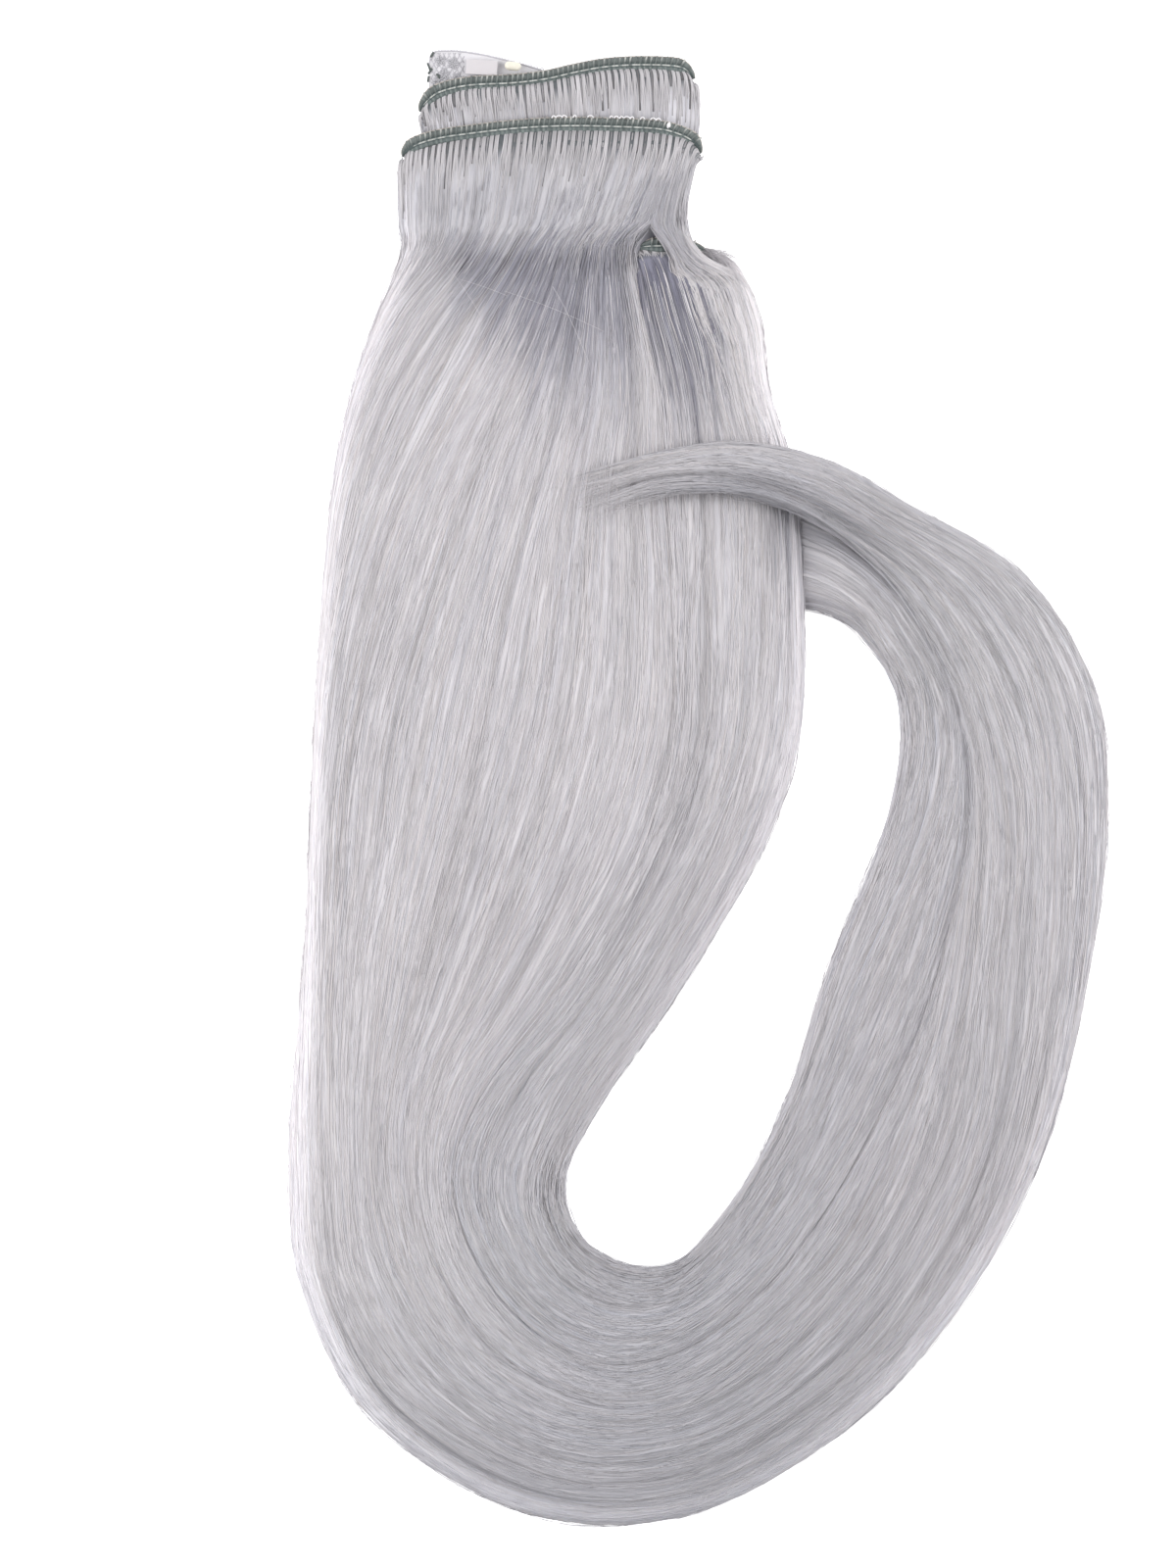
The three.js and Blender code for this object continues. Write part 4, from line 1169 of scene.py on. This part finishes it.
# Dark stitches where the left edge is caught: x, y, length, lean; radius, height and how it falls off
CAUGHT = [
    (-54.5, 150.2, 0.9, 0.3), (-55.2, 147.8, 1.3, -0.2), (-54.9, 146.8, 1.0, 0.4),
    (-55.3, 145.2, 1.1, 0.1), (-53.2, 145.8, 0.8, -0.4),
]
CAUGHT_RADIUS, CAUGHT_LIFT, CAUGHT_FALL = 0.24, 0.3, 0.8


def lace_sheet():
    n = len(LACE_OUTLINE)
    levels = [np.full(n, LACE_BASE + LACE_THICK), np.full(n, LACE_BASE)]
    verts = np.concatenate([np.column_stack([LACE_OUTLINE, level]) for level in levels])
    faces = [range(n - 1, -1, -1), range(n, 2 * n)]
    faces += [(n + k, n + (k + 1) % n, (k + 1) % n, k) for k in range(n)]
    me = bpy.data.meshes.new("lace_sheet")
    me.from_pydata((verts * MM).tolist(), [], [tuple(face) for face in faces])
    ob = placed("lace_sheet", me)
    paint(ob, np.repeat(LACE_TONE[None], 2 * n, axis=0))
    return belongs(ob, "lace_tab", lace_look)


def thread(points, radius, tone, sides=THREAD_SIDES, height=THREAD_LEVEL):
    points = np.column_stack([points, np.broadcast_to(height, len(points))])
    return tubes(points[None], radius, tone, sides)


def bound_edge():
    """The thread round the top of the tab, with small loops along it."""
    edge = catmull(LACE_OUTLINE[1:8], np.linspace(0, 6, 120))
    made = [thread(edge, EDGE_RADIUS, LACE_THREAD)]
    run = lengths_along(edge)
    turn = np.linspace(0, math.pi, 7)[:, None]
    for at in np.arange(PICOT_FIRST, run[-1] - 1.0, PICOT_SPACING):
        foot, ahead = (np.array([np.interp(s, run, edge[:, k]) for k in (0, 1)]) for s in (at, at + 0.1))
        ahead = unit(ahead - foot)
        out = np.array([-ahead[1], ahead[0]])
        loop = foot - ahead * PICOT_HALF * np.cos(turn) + out * PICOT_HIGH * np.sin(turn)
        made.append(thread(loop, PICOT_RADIUS, LACE_THREAD * 1.05, 4))
    return made


def net():
    """Two sets of slanting threads."""
    left, right, low, high = NET
    y = np.linspace(low, high, 14)
    reach = NET_SLANT * (high - low)
    made = []
    for slant, level in ((NET_SLANT, low), (-NET_SLANT, high)):
        for start in np.arange(left - reach, right + reach, NET_SPACING):
            x = start + slant * (y - level)
            keep = (x > left) & (x < right)
            if keep.sum() > 2:
                made.append(thread(np.column_stack([x, y])[keep], NET_RADIUS, LACE_THREAD, 4))
    return made


def flowers():
    turn = np.linspace(0, FULL_TURN, 40)
    made = []
    for x, y, size in FLOWERS:
        petal = size * (PETAL_MIDDLE + PETAL_DEPTH * np.cos(PETALS * turn + x))
        ring = np.column_stack([x + petal * np.cos(turn), y + petal * np.sin(turn)])
        made.append(thread(ring, FLOWER_RADIUS, LACE_THREAD * 0.88, height=THREAD_LEVEL + FLOWER_LIFT))
    return made


def caught_stitches():
    f = np.linspace(-0.5, 0.5, 7)
    height = THREAD_LEVEL + CAUGHT_LIFT - CAUGHT_FALL * f**2
    made = []
    for x, y, long, lean in CAUGHT:
        line = np.column_stack([x + 2 * lean * long * f, y + long * f])
        made.append(thread(line, CAUGHT_RADIUS, THREAD_MID * 0.6, height=height))
    return made


tab = lace_sheet()
tab_parts = bound_edge() + net() + flowers() + caught_stitches()
tab_threads = belongs(joined("lace_threads", tab_parts, bands=2), None, lace_look)


# Plate and bead on the lace tab

# Their colour is clouded a little: scale of the noise, darkest and lightest factor
CLOUD_SCALE, CLOUD_DARK, CLOUD_LIGHT = 700, 0.96, 1.04


def finish_piece(name, colour, rough, clear):
    mat, tree, shader = new_material(name, rough, level=0.5)
    cloud = add_node(tree, "ShaderNodeTexNoise", "Fac", {"Scale": CLOUD_SCALE})
    dark, light = (np.array(colour) * factor for factor in (CLOUD_DARK, CLOUD_LIGHT))
    tree.links.new(between(tree, cloud, dark, light), shader.inputs["Base Color"])
    shader.inputs["Transmission Weight"].default_value = clear
    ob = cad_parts[name]
    ob.data.materials.clear()
    ob.data.materials.append(mat)


finish_piece("clear_sleeve", (0.80, 0.765, 0.79), rough=0.3, clear=0.25)
finish_piece("wire_crimp", (0.80, 0.76, 0.66), rough=0.4, clear=0)


# Table, light and camera, in metres

TABLE_SIZE, TABLE_DROP = 3.0, 0.0003
TABLE_WHITE, TABLE_GLOW = 0.93, 0.7
SKY = 0.32
# Soft boxes: place, target, size, power
SOFT_BOXES = {
    "left_box": ((-0.9, 0.1, 0.75), (0, 0, 0), (0.7, 1.2), 12),
    "right_box": ((0.9, 0.1, 0.75), (0, 0, 0), (0.7, 1.2), 11.5),
    "top_box": ((0, 0.95, 0.6), (0, 0.05, 0), (1.0, 0.5), 1.5),
}
# What the picture shows: its height, its middle, and the height above the table where it has that size
FRAME_HEIGHT, FRAME_MIDDLE, FRAME_LEVEL = 0.320, (-0.0225, 0.0006), 0.008
# Lens and sensor in millimetres
LENS, SENSOR = 150.0, 36.0


def table():
    h = TABLE_SIZE
    me = bpy.data.meshes.new("table")
    me.from_pydata([(-h, -h, 0), (h, -h, 0), (h, h, 0), (-h, h, 0)], [], [(0, 1, 2, 3)])
    ob = placed("table", me)
    ob.location.z = -TABLE_DROP
    mat, _, shader = new_material("table", rough=0.8, level=0.5)
    shader.inputs["Base Color"].default_value = (TABLE_WHITE, TABLE_WHITE, TABLE_WHITE, 1)
    shader.inputs["Emission Color"].default_value = (1, 1, 1, 1)
    shader.inputs["Emission Strength"].default_value = TABLE_GLOW
    me.materials.append(mat)


def soft_box(name, place, target, size, power):
    lamp = bpy.data.lights.new(name, "AREA")
    lamp.shape = "RECTANGLE"
    lamp.size, lamp.size_y = size
    lamp.energy = power
    ob = placed(name, lamp)
    ob.location = place
    ob.rotation_euler = (Vector(target) - Vector(place)).to_track_quat("-Z", "Y").to_euler()


def look_down():
    data = bpy.data.cameras.new("camera")
    data.sensor_fit = "AUTO"
    data.sensor_width = SENSOR
    data.lens = LENS
    data.clip_start, data.clip_end = 0.01, 20
    scene.camera = placed("camera", data)
    scene.camera.location = (*FRAME_MIDDLE, FRAME_LEVEL + FRAME_HEIGHT * LENS / SENSOR)


def sky():
    scene.view_settings.view_transform = "Standard"
    scene.view_settings.look = "None"
    world = bpy.data.worlds.new("studio")
    world.use_nodes = True
    world.node_tree.nodes["Background"].inputs["Color"].default_value = (1, 1, 1, 1)
    world.node_tree.nodes["Background"].inputs["Strength"].default_value = SKY
    scene.world = world


table()
sky()
for name, settings in SOFT_BOXES.items():
    soft_box(name, *settings)
look_down()
